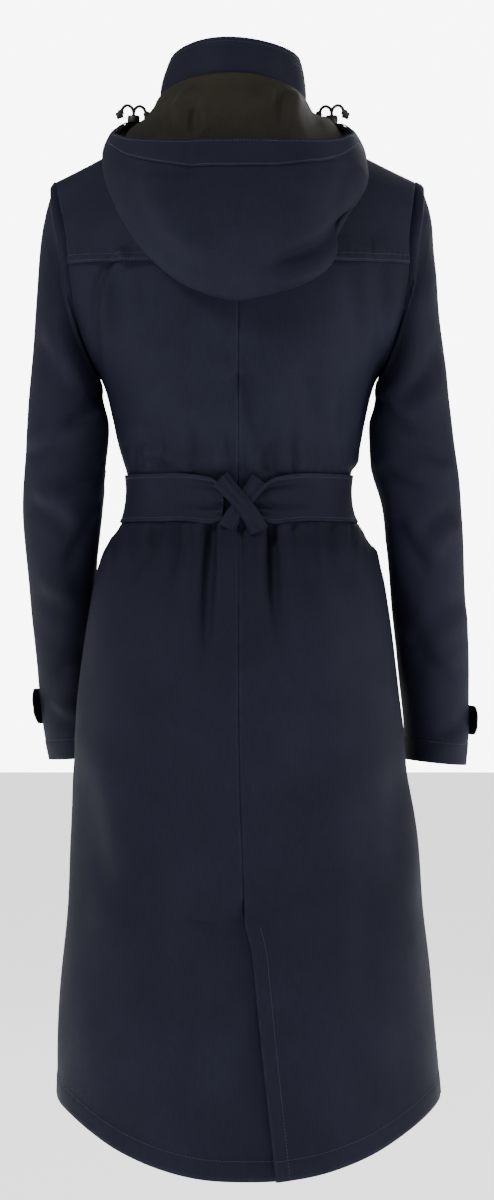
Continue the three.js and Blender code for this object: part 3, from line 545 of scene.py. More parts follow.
class Finish:
    """A surface finish: a Principled shader and the nodes that feed it."""

    def __init__(self, name, **fixed):
        self.material = bpy.data.materials.new(name)
        self.material.use_nodes = True
        self.tree = self.material.node_tree
        self.shader = self.tree.nodes["Principled BSDF"]
        for socket, value in fixed.items():
            self.shader.inputs[socket.replace("_", " ")].default_value = value

    def node(self, kind, settings=None, values=None, out=0):
        made = self.tree.nodes.new(kind)
        for name, value in (settings or {}).items():
            if name == "stops":
                ramp = made.color_ramp
                while len(ramp.elements) < len(value):
                    ramp.elements.new(0.5)
                for element, (place, colour) in zip(ramp.elements, value):
                    element.position, element.color = place, colour
            else:
                setattr(made, name, value)
        for name, value in (values or {}).items():
            if isinstance(value, Value):
                self.tree.links.new(value.socket, made.inputs[name])
            elif value is not None:
                made.inputs[name].default_value = value
        return Value(self, made.outputs[out])

    def blended(self, share, a, b):
        return self.node("ShaderNodeMix", {"data_type": "RGBA"}, {0: share, 6: a, 7: b}, out=2)

    def noise(self, where, size, detail=3.0, roughness=0.5):
        values = {"Vector": where, "Scale": 1 / size, "Detail": detail, "Roughness": roughness}
        return self.node("ShaderNodeTexNoise", {}, values)

    def between(self, value, low, high, to_low=0.0, to_high=1.0):
        values = {0: value, 1: low, 2: high, 3: to_low, 4: to_high}
        return self.node("ShaderNodeMapRange", {}, values)

    def feed(self, socket, value):
        self.tree.links.new(value.socket, self.shader.inputs[socket])

    def place(self):
        return self.node("ShaderNodeTexCoord", out=3)

    def along_cloth(self):
        """The cloth's own two directions, in metres."""
        where = self.node("ShaderNodeUVMap", {"uv_map": "cloth"})
        across = self.node("ShaderNodeSeparateXYZ", {}, {0: where}, out=0)
        along = self.node("ShaderNodeSeparateXYZ", {}, {0: where}, out=1)
        return across, along

    def raised(self, height, distance, strength=1.0, under=None):
        values = {"Height": height, "Distance": distance, "Strength": strength}
        if under is not None:
            values["Normal"] = under
        return self.node("ShaderNodeBump", {}, values)


def colour(red, green, blue):
    """A colour from the three numbers of an ordinary colour chart, 0 to 255."""
    return (*[((c / 255 + 0.055) / 1.055) ** 2.4 if c > 10 else c / 3294 for c in (red, green, blue)], 1)


def woven(name, main, deep, pale, thread, weave_depth):
    """Cloth: a fine weave that follows it, faint streaks along its threads, soft rubbed patches and edges
    that have lost a little colour."""
    finish = Finish(name, Specular_IOR_Level=0.12)
    where = finish.place()
    across, along = finish.along_cloth()
    turn = 2 * math.pi / thread
    warp, weft = (across * turn).sine(), (along * turn).sine()
    weave = warp * weft
    patches = finish.between(finish.noise(where, 0.16, 4.0, 0.6), 0.38, 0.64)
    streaks = finish.noise(finish.node("ShaderNodeMapping", {}, {0: where, 3: (900, 900, 60)}), 1.0, 2.0)
    specks = finish.noise(where, 0.0016, 2.0, 0.7)
    wear = finish.node("ShaderNodeAttribute", {"attribute_name": "wear"}, out=2)
    rubbed = wear * finish.between(finish.noise(where, 0.012, 3.0), 0.35, 0.65)
    tint = finish.blended(patches, deep, main)
    tint = finish.blended(finish.between(streaks, 0.3, 0.75, 0.0, 0.3), tint, pale)
    tint = finish.blended(rubbed * 0.55, tint, pale)
    tint = finish.blended(finish.between(weave, -1.0, 1.0, 0.0, 0.16), tint, deep)
    finish.feed("Base Color", tint)
    finish.feed("Roughness", 0.7 - 0.08 * patches + 0.08 * specks - 0.05 * rubbed)
    crumple = finish.noise(where, 0.022, 4.0, 0.55)
    low = finish.raised(crumple, 0.0011, 0.55)
    fine = finish.raised(specks * 0.4 + weave * 0.5, weave_depth, 0.6, low)
    finish.feed("Normal", fine)
    return finish.material


def thread_finish(name, main, pale):
    finish = Finish(name, Sheen_Weight=0.2, Sheen_Roughness=0.4, Specular_IOR_Level=0.4)
    where = finish.place()
    twist = finish.between(finish.noise(where, 0.0011, 2.0), 0.35, 0.65)
    finish.feed("Base Color", finish.blended(twist, main, pale))
    finish.feed("Roughness", 0.5 + 0.2 * twist)
    finish.feed("Normal", finish.raised(twist, 0.0001))
    return finish.material


def braided(name, main, pale):
    """Round cord: strands that cross as they wind round it, with a dusting of loose fibre."""
    finish = Finish(name, Sheen_Weight=0.3, Sheen_Roughness=0.4, Specular_IOR_Level=0.35)
    where = finish.place()
    around, along = finish.along_cloth()
    winding, running = around * (2 * math.pi / 0.0031), along * (2 * math.pi / 0.0026)
    strands = (winding + running).sine() * (winding - running).sine()
    fibre = finish.noise(where, 0.0009, 3.0, 0.7)
    lit = finish.between(strands + fibre * 0.6, -0.6, 1.2)
    finish.feed("Base Color", finish.blended(lit, main, pale))
    finish.feed("Roughness", 0.62 + 0.18 * fibre)
    finish.feed("Normal", finish.raised(strands * 0.8 + fibre * 0.5, 0.00035, 0.8))
    return finish.material


def moulded(name, main, pale):
    """Moulded plastic with a fine spark-eroded grain and a few handling scuffs."""
    finish = Finish(name, Specular_IOR_Level=0.5)
    where = finish.place()
    grain = finish.noise(where, 0.0007, 3.0, 0.6)
    scuffs = finish.between(finish.noise(where, 0.004, 4.0, 0.7), 0.6, 0.75)
    finish.feed("Base Color", finish.blended(scuffs * 0.6, main, pale))
    finish.feed("Roughness", 0.4 + 0.12 * grain + 0.15 * scuffs)
    finish.feed("Normal", finish.raised(grain, 0.00008, 0.5))
    return finish.material


def lacquered(name, main, pale):
    """Lacquered metal, a little worn through on its highest places."""
    finish = Finish(name, Specular_IOR_Level=0.5)
    where = finish.place()
    cloudy = finish.noise(where, 0.006, 4.0, 0.6)
    fine = finish.noise(where, 0.0012, 3.0, 0.6)
    worn = finish.between(cloudy + fine * 0.4, 0.72, 0.95)
    finish.feed("Base Color", finish.blended(worn, main, pale))
    finish.feed("Metallic", 0.85 + 0.15 * worn)
    finish.feed("Roughness", 0.3 + 0.2 * cloudy)
    finish.feed("Normal", finish.raised(fine, 0.00004, 0.5))
    return finish.material


NAVY = woven("navy_proofed_cloth", colour(19, 21, 35), colour(14, 16, 28), colour(32, 35, 53), 0.0007, 0.00012)
INSIDE = woven("olive_brown_lining", colour(40, 37, 30), colour(27, 25, 20), colour(56, 52, 43), 0.0006, 0.0001)
THREAD = thread_finish("navy_thread", colour(20, 23, 44), colour(40, 44, 70))
CORD = braided("black_braided_cord", colour(10, 10, 12), colour(34, 34, 38))
PLASTIC = moulded("black_moulded_plastic", colour(12, 12, 14), colour(48, 48, 50))
METAL = lacquered("gunmetal_lacquer", colour(44, 44, 48), colour(126, 124, 120))

# ------------------------------------------------------------------ panels


def spaced(start, end, count, finer=0.7):
    """Places from start to end that lie closer together near both ends."""
    t = np.linspace(0, 1, count)
    return mix(start, end, t - finer * np.sin(2 * math.pi * t) / (2 * math.pi))


def off_belt(z):
    """0 under the belt and 1 clear of it."""
    return ease((np.abs(z - BELT_MIDDLE) - 25) / 7)


def gathers(x, z):
    """Small puckers that the belt draws in, dying away above and below it."""
    above = hump((z - BELT_TOP - 12) / 26) * (z > BELT_MIDDLE)
    below = hump((z - BELT_BOTTOM + 14) / 34) * (z <= BELT_MIDDLE)
    wave = np.sin(2 * math.pi * x / 19 + 1.9 * np.sin(x / 31))
    wave += 0.5 * np.sin(2 * math.pi * x / 11 + 1.1 + np.sin(x / 17))
    blouse = 2.4 * hump((z - BELT_TOP - 14) / 9) * (0.7 + 0.3 * np.sin(x / 23))
    return (0.8 * above + below) * wave + blouse


def puckers(along, off, width=6.0, size=0.3):
    """The slight ripple a row of stitching leaves beside it."""
    return size * np.sin(2 * math.pi * along / 8.5 + 1.6 * np.sin(along / 21)) * hump(off / width)


def body_panel(which, hand, grid, middle, under):
    """One panel of the coat: its surface, and v down its rows. middle is u at its inner edge."""
    side, table = (1, BACK_CREASES) if which == "back" else (-1, FRONT_CREASES)
    columns, rows = grid
    upper = np.linspace(0, 1, rows // 4)[:-1]
    lower = np.linspace(UNDERARM_Z, HEM_SIDE, rows - len(upper))
    v = np.concatenate([upper, lower])[:, None]
    share = spaced(0, 1, columns)[None, :]
    edge = middle(v)
    u = edge + (1 - edge) * share
    points = coat(u, v, side, hand, under(u, v))
    out = outwards(points, BODY_CENTRE)
    x, y, z = points[..., 0], points[..., 1], points[..., 2]
    from_middle, from_side = reaches(points, 1)
    from_top, from_hem = reaches(points, 0)
    covered = mix(0.2, 1, ease((-168 - z) / 12)) if side > 0 else ease((np.abs(x) - 24) / 14)
    free = off_belt(z) * ease(from_side / 14) * covered * ease(from_top / 10)
    push = free * (creases(x, z, table) + rumple(x, y, z, 2.2) + 1.5 * gathers(x, z))
    push -= 1.1 * hump(from_side / 2.2) * (v < 0)
    if side > 0:
        push -= 1.1 * hump(from_middle / 2.0) * ease((v - VENT_TOP) / 8)
    push += 0.55 * ease((HEM_TURN - from_hem) / 1.5) + puckers(from_middle, from_hem - HEM_TURN)
    push += puckers(from_top, from_side, 5) * (v < 0)
    return points + out * push[..., None], v


def cut(points, closed=False):
    """Works out the diagonals of each cell of a sheet's grid, and does nothing more with them."""
    across = np.concatenate([points, points[:, :1]], 1) if closed else points
    a = across[1:, 1:] - across[:-1, :-1]
    b = across[1:, :-1] - across[:-1, 1:]


def sewn(name, node, points, closed=False, thick=CLOTH, centre=BODY_CENTRE):
    """Makes a grid of points into shell cloth and gives the way that it faces."""
    out = outwards(points, centre, closed)
    piece = wall(name, points, points - out * thick, NAVY, closed)
    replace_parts(piece, node)
    cut(points, closed)
    return out


def seam(name, points, out, *rows):
    """Stitches rows that each run a distance in from one edge."""
    stitched(name, [run_in(points, out, edge, distance) for edge, distance in rows])


def flush(u, v):
    """The inset of a panel that laps over its neighbour: none."""
    return np.zeros(np.broadcast(u, v).shape)


def vent_swing(v):
    """u of the vent's upper edge, on the wearer's right panel."""
    share = (VENT_TOP - v) / (VENT_TOP - HEM_SIDE)
    swing = mix(VENT_SWING_TOP * ease(share * 8), VENT_SWING_HEM, np.clip(share, 0, 1)) / 380
    return np.where(v < VENT_TOP, swing, 0)


def vent_underlap(v):
    """u of the vent's under edge, on the wearer's left panel."""
    return np.where(v < 0, -VENT_UNDER * ease((VENT_TOP + 4 - v) / 10), 0)


def under_vent(u, v):
    """How far the left panel lies in, below the right one at the vent."""
    return np.where(v < 0, UNDERLAP * ease((VENT_TOP + 28 - v) / 22) * ease((VENT_UNDER - u) / VENT_UNDER), 0)


def past_middle(v):
    """u of both front panels' inner edges."""
    return np.full_like(v, -FRONT_OVERLAP)


def under_front(u, v):
    """How far the left front lies in, below the right one."""
    return UNDERLAP * ease((0.25 - u) / 0.12) + flush(u, v)


stitches = []


def sewn_panel(name, node, points):
    """Makes a panel into cloth and marks where its hem is stitched."""
    out = sewn(name, node, points)
    stitches.append(run_in(points, out, "bottom", HEM_TURN))
    return out


BACK_GRID, FRONT_GRID = (100, 250), (76, 200)  # columns and rows
VENT_LIFT = 4.5  # how far the vent's upper edge stands off at the hem

back_right, v = body_panel("back", -1, BACK_GRID, vent_swing, flush)
lifts = ease((VENT_TOP - 20 - v) / 160)
from_vent, _ = reaches(back_right, 1)
back_right[..., 1] += VENT_LIFT * lifts * hump(from_vent / 13)
back_right[..., 1] += 0.5 * (v < VENT_TOP) * ease((VENT_TURN - from_vent) / 1.5)
out = sewn_panel("back_panel_right", "back_right", back_right)
vent_rows = v[:, 0] < VENT_TOP
stitches.append(run_in(back_right[vent_rows], out[vent_rows], "left", VENT_TURN))

back_left, _ = body_panel("back", 1, BACK_GRID, vent_underlap, under_vent)
sewn_panel("back_panel_left", "back_left", back_left)

front_right, _ = body_panel("front", -1, FRONT_GRID, past_middle, flush)
sewn_panel("front_panel_right", "front_right", front_right)

front_left, _ = body_panel("front", 1, FRONT_GRID, past_middle, under_front)
sewn_panel("front_panel_left", "front_left", front_left)

stitched("hem_stitches", stitches)

# ------------------------------------------------------------------ back yoke

YOKE_TURN, YOKE_LIFT, YOKE_LOOSE = 9, 1.7, 1.5  # hem, height off the back, and more at its lower edge
YOKE_CENTRE = (0, 0, -200)


def yoke():
    """The storm flap: one cloth from armhole to armhole that hangs free at its lower edge."""
    u = spaced(-1, 1, 150, 0.5)[None, :]
    far = np.abs(u)
    hand = np.where(u < 0, -1, 1)
    top_z = coat(far, 0, 1, 1)[..., 2]
    last = (top_z - YOKE_EDGE) / (top_z - UNDERARM_Z)
    first = mix(0.1, 0.04, ease((far - NECK_SHARE) / 0.25))
    share = spaced(0, 1, 60, 0.6)[:, None]
    down = mix(first, last, share)
    outset = YOKE_LIFT + CLOTH + YOKE_LOOSE * ease((share - 0.7) / 0.3)
    points = coat(far, down, 1, 1, -outset)
    points[..., 0] = (points[..., 0] - BODY.read("shift", points[..., 2]) - GAP / 2) * hand
    points[..., 0] += BODY.read("shift", points[..., 2])
    out = outwards(points, YOKE_CENTRE)
    x, y, z = points[..., 0], points[..., 1], points[..., 2]
    _, from_edge = reaches(points, 0)
    from_left, from_right = reaches(points, 1)
    free = ease(np.minimum(from_left, from_right) / 16) * ease(share * 4)
    push = free * (creases(x, z, BACK_CREASES) + 0.6 * rumple(x, y, z, 1.0))
    push += 0.5 * ease((YOKE_TURN - from_edge) / 1.5) + puckers(from_left, from_edge - YOKE_TURN, 5, 0.3)
    push += free * 1.6 * hump(from_edge / 10) * np.sin(x / 19 + 0.6)
    return points + out * push[..., None]


yoke_points = yoke()
rests_on = ["back_panel_left", "back_panel_right"]
out = sewn("back_yoke_flap", "back_yoke", yoke_points, thick=1.1, centre=YOKE_CENTRE)
seam("yoke_stitches", yoke_points, out, ("bottom", YOKE_TURN), ("bottom", 2.5))

# ------------------------------------------------------------------ sleeves

SLEEVE_COLUMNS = ["ring", "out_x", "out_z", "in_x", "in_z", "y", "deep"]
LEFT_SLEEVE = Chart(
    SLEEVE_COLUMNS,
    [
        [1, 213, -98, 156, -316, -5, 62],
        [2, 219, -124, 154, -328, -3, 62],
        [3, 224, -167, 151, -342, -2, 61],
        [4, 227, -225, 147, -358, -1, 60],
        [5, 233, -300, 147, -378, 0, 58],
        [6, 240, -385, 150, -412, 0, 55],
        [7, 242, -440, 153, -452, -6, 53],
        [8, 241, -492, 159, -500, -24, 52],
        [9, 238, -550, 165, -556, -52, 52],
        [10, 233, -615, 167, -620, -86, 51],
        [11, 227, -682, 162, -684, -120, 49],
        [12, 220, -738, 156, -734, -146, 47],
    ],
)
RIGHT_SLEEVE = Chart(
    SLEEVE_COLUMNS,
    [
        [1, 212, -98, 156, -316, -5, 62],
        [2, 217, -124, 154, -328, -3, 62],
        [3, 220, -167, 151, -342, -2, 61],
        [4, 223, -225, 147, -356, -1, 60],
        [5, 233, -305, 147, -376, 0, 58],
        [6, 243, -393, 150, -412, 0, 55],
        [7, 248, -455, 161, -455, -3, 53],
        [8, 253, -515, 167, -505, -14, 52],
        [9, 258, -580, 173, -562, -32, 52],
        [10, 262, -640, 180, -625, -52, 51],
        [11, 262, -695, 186, -688, -70, 49],
        [12, 259, -742, 189, -735, -84, 47],
    ],
)
HEAD_SWELL, HEAD_RINGS, CUFF_TURN = 12, 7, 26

LEFT_CREASES = [
    [222, -120, 206, -170, 176, -236, 13, 2.0, 1.4, 0.1],
    [232, -240, 204, -300, 168, -330, 12, 2.2, 1.6, 0.1],
    [158, -330, 176, -352, 206, -362, 8, 3.0, 2.2, 1.0],
    [240, -392, 212, -384, 172, -362, 9, 2.4, 1.8, 0.1],
    [160, -410, 184, -424, 216, -420, 9, 2.6, 2.0, 1.0],
    [238, -446, 206, -462, 178, -494, 10, 2.2, 2.0, 0.1],
    [166, -470, 182, -500, 200, -520, 9, 2.2, 1.6, 1.0],
    [236, -540, 208, -560, 176, -566, 11, 1.8, 1.4, 0.1],
    [168, -600, 192, -626, 222, -640, 11, 1.8, 1.6, 0.8],
    [222, -668, 204, -690, 170, -696, 9, 1.6, 1.4, 0.1],
]
LEFT_FRONT_CREASES = [
    [220, -130, 202, -180, 172, -244, 13, 2.0, 1.4, 0.1],
    [160, -320, 180, -350, 214, -372, 9, 2.8, 2.0, 1.0],
    [236, -380, 206, -396, 164, -392, 9, 2.8, 2.2, 0.2],
    [162, -420, 190, -436, 224, -430, 9, 3.0, 2.2, 1.0],
    [236, -470, 206, -470, 168, -452, 9, 2.4, 2.0, 0.2],
    [166, -500, 194, -520, 222, -524, 10, 2.2, 1.8, 0.8],
    [228, -600, 200, -612, 172, -604, 11, 1.8, 1.6, 0.1],
    [168, -650, 190, -672, 216, -680, 10, 1.6, 1.4, 0.6],
]


def mirrored(rows, lower):
    """The same creases for the other sleeve, carried out and down with it."""
    shifted = []
    for row in rows:
        moved = list(row)
        for i in (0, 2, 4):
            out = 0.128 * max(0, -380 - row[i + 1])
            moved[i], moved[i + 1] = -(row[i] + out), row[i + 1] - lower
        shifted.append(moved)
    return shifted


def sleeve_point(chart, hand, ring, angle, inset=0.0):
    """A point of a sleeve: ring runs down it, and angle runs round it from the underarm side."""
    ring, angle = np.broadcast_arrays(np.asarray(ring, float), np.asarray(angle, float))
    value = {name: chart.read(name, ring) for name in SLEEVE_COLUMNS[1:]}
    across_x, across_z = (value["out_x"] - value["in_x"]) / 2, (value["out_z"] - value["in_z"]) / 2
    narrow = 1 - inset / np.hypot(across_x, across_z)
    swell = HEAD_SWELL * ease((HEAD_RINGS - ring) / HEAD_RINGS) * np.sin(angle) ** 2
    x = (value["out_x"] + value["in_x"]) / 2 + across_x * np.cos(angle) * narrow + swell
    z = (value["out_z"] + value["in_z"]) / 2 + across_z * np.cos(angle) * narrow
    y = value["y"] + (value["deep"] - inset) * np.sin(angle)
    return np.stack([x * hand, y, z], -1)


def sleeve(chart, hand, behind, before):
    """A sleeve that starts at its armhole and settles into a tube, with its creases."""
    rings = np.concatenate([np.linspace(0, 3, 50)[:-1], spaced(3, 12, 130, 0.4)])[:, None]
    angle = np.linspace(-math.pi, math.pi, 121)[:-1][None, :]
    down = (1 - np.cos(angle)) / 2
    behind_half = angle >= 0
    armhole = np.where(behind_half[..., None], coat(1, down, 1, hand), coat(1, down, -1, hand))
    armhole = armhole + np.array([hand * GAP * 1.5, 0, GAP * 1.5])
    free = sleeve_point(chart, hand, rings, angle)
    first = sleeve_point(chart, hand, 1, angle)
    settled = np.where(rings < 1, 0.6 * rings, np.clip(0.3 + 0.3 * rings, 0, 1))[..., None]
    carried = armhole + (free - first) * np.clip(rings, 0, 1)[..., None]
    points = mix(carried, free, settled)
    out = outwards(points, points.mean((0, 1)), True)
    middle = points.mean(1, keepdims=True)
    out = np.where(((points - middle) * out).sum((0, 1, 2)) > 0, out, -out)
    x, y, z = points[..., 0], points[..., 1], points[..., 2]
    from_head, from_cuff = reaches(points, 0)
    faces = np.abs(np.sin(angle)) ** 0.7
    push = np.where(behind_half, creases(x, z, behind), creases(x, z, before)) * faces
    push = (push + rumple(x * 1.3, y, z * 1.2, 2.6)) * ease(from_head / 22) * ease((from_cuff + 8) / 30)
    push += 2.0 * hump((from_head - 9) / 7) - 0.8 * hump(from_head / 2.5)
    push += puckers(x + z, from_head, 7, 0.4)
    push += 0.5 * ease((CUFF_TURN - from_cuff) / 1.5)
    return points + out * push[..., None]


for name, chart, hand, behind, before in (
    ("left", LEFT_SLEEVE, 1, LEFT_CREASES, LEFT_FRONT_CREASES),
    ("right", RIGHT_SLEEVE, -1, mirrored(LEFT_CREASES, 6), mirrored(LEFT_FRONT_CREASES, 4)),
):
    points = sleeve(chart, hand, behind, before)
    shell, centre = f"sleeve_{name}_shell", points.mean((0, 1))
    rests_on = [f"back_panel_{name}", f"front_panel_{name}"]
    out = sewn(shell, f"sleeve_{name}", points, closed=True, centre=centre)
    line, face = run_in(points, out, "bottom", CUFF_TURN)
    stitched(f"cuff_stitches_{name}", [(np.vstack([line, line[:1]]), np.vstack([face, face[:1]]))])

    along, across = spaced(0, 1, 70, 0.5)[None, :], spaced(0, 1, 24, 0.6)[:, None]
    tip = ease((along - 0.75) / 0.25)
    place = mix(mix(10.6, 11.25, across), 10.925, 0.55 * tip)
    outset = 0.5 + 1.8 + 9 * along ** 3 + 0.5 * np.sin(math.pi * across) * np.sin(math.pi * along)
    tab = sleeve_point(chart, hand, place, mix(-1.5, 0.35, along), -outset)
    out = sewn(f"cuff_strap_{name}", f"cuff_tab_{name}", tab, thick=1.6, centre=centre)
    seam(f"cuff_strap_stitches_{name}", tab, out, ("top", 3), ("bottom", 3))

# ------------------------------------------------------------------ collar

COLLAR_CENTRE = (0, -12, 20)


def collar_point(angle, up, inset=0.0):
    """A point of the collar: up runs from the neck seam (0) to the top edge (1)."""
    foot = neckline(angle)
    crest = np.stack([74 * np.sin(angle), -14 + 63 * np.cos(angle), 48 + 21 * np.cos(angle)], -1)
    points = mix(foot, crest, up[..., None])
    away = np.stack([np.sin(angle), np.cos(angle), 0 * angle], -1)
    points = points + away * (4 * np.sin(math.pi * up) - inset)[..., None]
    points[..., 0] += BODY.read("shift", foot[..., 2]) - 3 * up
    points[..., 2] += GAP + 0.1
    return points


angle, up = np.meshgrid(spaced(-math.pi - 0.26, math.pi - 0.06, 220, 0.3), spaced(0, 1, 40, 0.7))
collar = collar_point(angle, up, UNDERLAP * ease((angle - 2.35) / 0.3))
out = outwards(collar, COLLAR_CENTRE)
wobble = 0.9 * np.sin(angle * 5 + 0.6) * np.sin(up * 2.4) + 0.5 * np.sin(angle * 11 + up * 2)
from_seam, from_top = reaches(collar, 0)
wobble += 0.4 * ease((5 - from_top) / 1.5) - 0.6 * hump(from_seam / 2)
wobble += puckers(angle * 80, from_top - 6, 4, 0.25)
collar = collar + out * (wobble * np.sin(math.pi * np.clip(up + 0.25, 0, 1)) ** 0.5)[..., None]
collar[..., 2] += 1.2 * up * np.sin(angle * 3 + 0.5)
rests_on = ["back_panel_left", "back_panel_right"]
out = sewn("stand_collar", "collar", collar, thick=2.0, centre=COLLAR_CENTRE)
seam("collar_stitches", collar, out, ("bottom", 6))

# ------------------------------------------------------------------ hood

HOOD = Chart(
    ["angle", "low_x", "low_y", "low_z", "out_x", "out_y", "out_z", "rim_x", "rim_y", "rim_z"],
    [
        [0, 0, 146, -240, 0, 184, -144, 0, 160, -57],
        [30, 54, 142, -226, 60, 178, -136, 62, 157, -57],
        [55, 102, 128, -184, 110, 152, -114, 108, 138, -54],
        [75, 130, 100, -128, 138, 112, -86, 129, 104, -44],
        [92, 138, 58, -86, 145, 62, -62, 131, 54, -36],
        [112, 122, 4, -40, 132, 0, -26, 116, -4, -20],
        [132, 98, -46, -46, 110, -50, -34, 98, -56, -21],
        [152, 58, -84, -62, 70, -88, -52, 62, -94, -36],
    ],
)
HOOD_END = 142  # degrees from the centre back
HEM_END, LINING_END = HOOD_END * 20 / 24, 118
HEM_WIDE = 1 / 11  # the face hem's share of the way from neck seam to face edge
HOOD_SEAM_OUT, HOOD_SEAM_UP, HOOD_NEAR, HOOD_HOLLOW = 3.4, 4.6, 0.55, 0.022
HOOD_ROWS, HOOD_ANGLES = np.linspace(0, 1, 12), np.linspace(-HOOD_END, HOOD_END, 25)


def hood_clearance(along):
    """How far the hood keeps off the coat, on its way from neck seam to face edge."""
    return mix(mix(4.2, 6, ease(along * 6)), 14, ease((along - 0.6) / 0.22))


def clear_of_coat(points, clearance):
    """Keeps the hood off the coat's shoulders and back."""
    x = points[..., 0] - BODY.read("shift", points[..., 2])
    y, z = points[..., 1], points[..., 2]
    _, edge_z = top_edge(x, np.where(y > SHOULDER_Y, 1, -1))
    edge_y, _ = top_edge(x, np.where(y > SHOULDER_Y, 1, -1))
    side = np.where(y > edge_y, 1, -1)
    rise = edge_z + clearance - z
    depth = coat_depth(x, z - clearance, side, 0) + side * clearance
    short = side * (depth - y)
    moves = (rise > 0) & (short > 0)
    slope = np.where(moves, short ** 2 + rise ** 2, 1)
    moved = points.copy()
    moved[..., 1] += np.where(moves, side * short * rise ** 2 / slope, 0)
    moved[..., 2] += np.where(moves, rise * short ** 2 / slope, 0)
    return moved


def smooth_line(knots, share):
    """A curve through five points that never loops between them."""
    before, after = 2 * knots[0] - knots[1], 2 * knots[-1] - knots[-2]
    every = np.stack([before, *knots, after])
    place = np.clip(share, 0, 1) * (len(knots) - 1)
    i = np.minimum(place.astype(int), len(knots) - 2)
    weight = (place - i)[..., None]
    column = np.arange(every.shape[1])
    p = [every[i + k, column] for k in range(4)]
    step = [np.sqrt(np.linalg.norm(p[k + 1] - p[k], axis=-1, keepdims=True)) for k in range(3)]
    a = (p[1] - p[0]) / step[0] - (p[2] - p[0]) / (step[0] + step[1]) + (p[2] - p[1]) / step[1]
    b = (p[2] - p[1]) / step[1] - (p[3] - p[1]) / (step[1] + step[2]) + (p[3] - p[2]) / step[2]
    a, b = a * step[1], b * step[1]
    w2, w3 = weight ** 2, weight ** 3
    return p[1] + a * weight + (3 * (p[2] - p[1]) - 2 * a - b) * w2 + (2 * (p[1] - p[2]) + a + b) * w3


def hood_point(along, degrees):
    """The hood's outside: along runs from the neck seam (0) to the face edge (1)."""
    along, degrees = np.broadcast_arrays(np.asarray(along, float), np.asarray(degrees, float))
    far = np.abs(degrees[0])
    angle = np.radians(far)
    value = {name: HOOD.read(name, far) for name in HOOD.columns if name != "angle"}
    away = np.stack([np.sin(angle), np.cos(angle), 0 * angle], -1)
    start = neckline(angle) + away * HOOD_SEAM_OUT + np.array([0, 0, HOOD_SEAM_UP])
    low, full, rim = (np.stack([value[f"{n}_{a}"] for a in "xyz"], -1) for n in ("low", "out", "rim"))
    reach = np.linalg.norm(start - low, axis=-1, keepdims=True)
    nearer = mix(start, low, HOOD_NEAR) - HOOD_HOLLOW * reach * away
    points = smooth_line(np.stack([start, nearer, low, full, rim]), along)
    points[..., 0] *= np.where(degrees < 0, -1, 1)
    points[..., 0] += BODY.read("shift", points[..., 2])
    return clear_of_coat(points, hood_clearance(along))


def relaxed(points):
    """The hood's cloth evened out where it rests on the shoulders."""
    share = 0.5 * ease((110 - np.abs(HOOD_ANGLES[None, :])) / 30) * ease((0.6 - HOOD_ROWS[:, None]) / 0.1)
    share[0], share[:, 0], share[:, -1], share[-1] = 0, 0, 0, 0
    around = np.zeros_like(points)
    around[1:-1, 1:-1] = (points[:-2, 1:-1] + points[2:, 1:-1] + points[1:-1, :-2] + points[1:-1, 2:]) / 4
    moved = clear_of_coat(mix(points, around, share[..., None]), hood_clearance(HOOD_ROWS)[:, None])
    return np.where(share[..., None] > 0, moved, points)


hood_frame = relaxed(relaxed(hood_point(HOOD_ROWS[:, None], HOOD_ANGLES[None, :])))


def hood_surface(along, degrees):
    """The smooth hood through the points of its frame."""
    rows = through(HOOD_ROWS, hood_frame, along)
    return through(HOOD_ANGLES, rows.swapaxes(0, 1), degrees).swapaxes(0, 1)


# Creases of the bag's outside, as (x, z).
HOOD_CREASES = [
    [-126, -142, -70, -181, -8, -196, 9, 4.5, 5.5, 1.0],
    [-136, -120, -120, -150, -92, -172, 12, 3.0, 3.0, 0.6],
    [72, -98, 52, -88, 30, -92, 7, 1.2, 0.8, 0.2],
    [104, -150, 60, -186, 6, -204, 10, 1.6, 2.0, 0.2],
    [118, -90, 110, -130, 84, -170, 14, 1.8, 1.6, 0.1],
    [-118, -74, -114, -104, -96, -134, 12, 1.6, 1.4, 0.1],
    [-30, -90, -52, -120, -84, -136, 16, 1.4, 1.2, 0.1],
    [20, -120, 40, -150, 74, -166, 16, 1.2, 1.0, 0.1],
]
# Folds of the lining that show above the face edge; these rise towards the open side.
LINING_FOLDS = [
    [-44, 40, -46, 0, -40, -60, 6, 4.0, 5.0, 1.0],
    [52, 26, 74, -6, 78, -60, 8, 2.4, 3.6, 0.4],
    [46, -14, 48, -30, 46, -60, 6, 2.4, 2.0, 0.2],
    [82, -10, 80, -30, 78, -60, 6, 2.4, 2.0, 0.2],
    [4, 30, 10, 0, 6, -50, 16, 1.6, 1.8, 0.2],
    [-86, 10, -78, -18, -84, -50, 9, 2.0, 2.4, 0.4],
]


def hood_shape(along, degrees):
    """The hood as it hangs, with its creases."""
    points = hood_surface(along, degrees)
    out = outwards(points, points.mean((0, 1)))
    x, y, z = points[..., 0], points[..., 1], points[..., 2]
    outside = ease((along[:, None] - 0.45) / 0.12) * (1 + 0 * degrees[None, :])
    behind = ease((118 - np.abs(degrees[None, :])) / 20)
    push = outside * behind * creases(x, z, HOOD_CREASES)
    push += rumple(x * 1.2, y, z * 1.4, 2.4) * (0.2 + 0.8 * outside) * ease(along[:, None] / 0.2)
    push -= 0.7 * hump((np.abs(degrees[None, :]) - 24) / 1.2) * outside
    return points + out * push[..., None]


along, degrees = spaced(0, 1, 110, 0.4), np.linspace(-HOOD_END, HOOD_END, 190)
hood = hood_shape(along, degrees)
centre = hood.mean((0, 1))
out = sewn("hood_shell", "hood", hood, centre=centre)

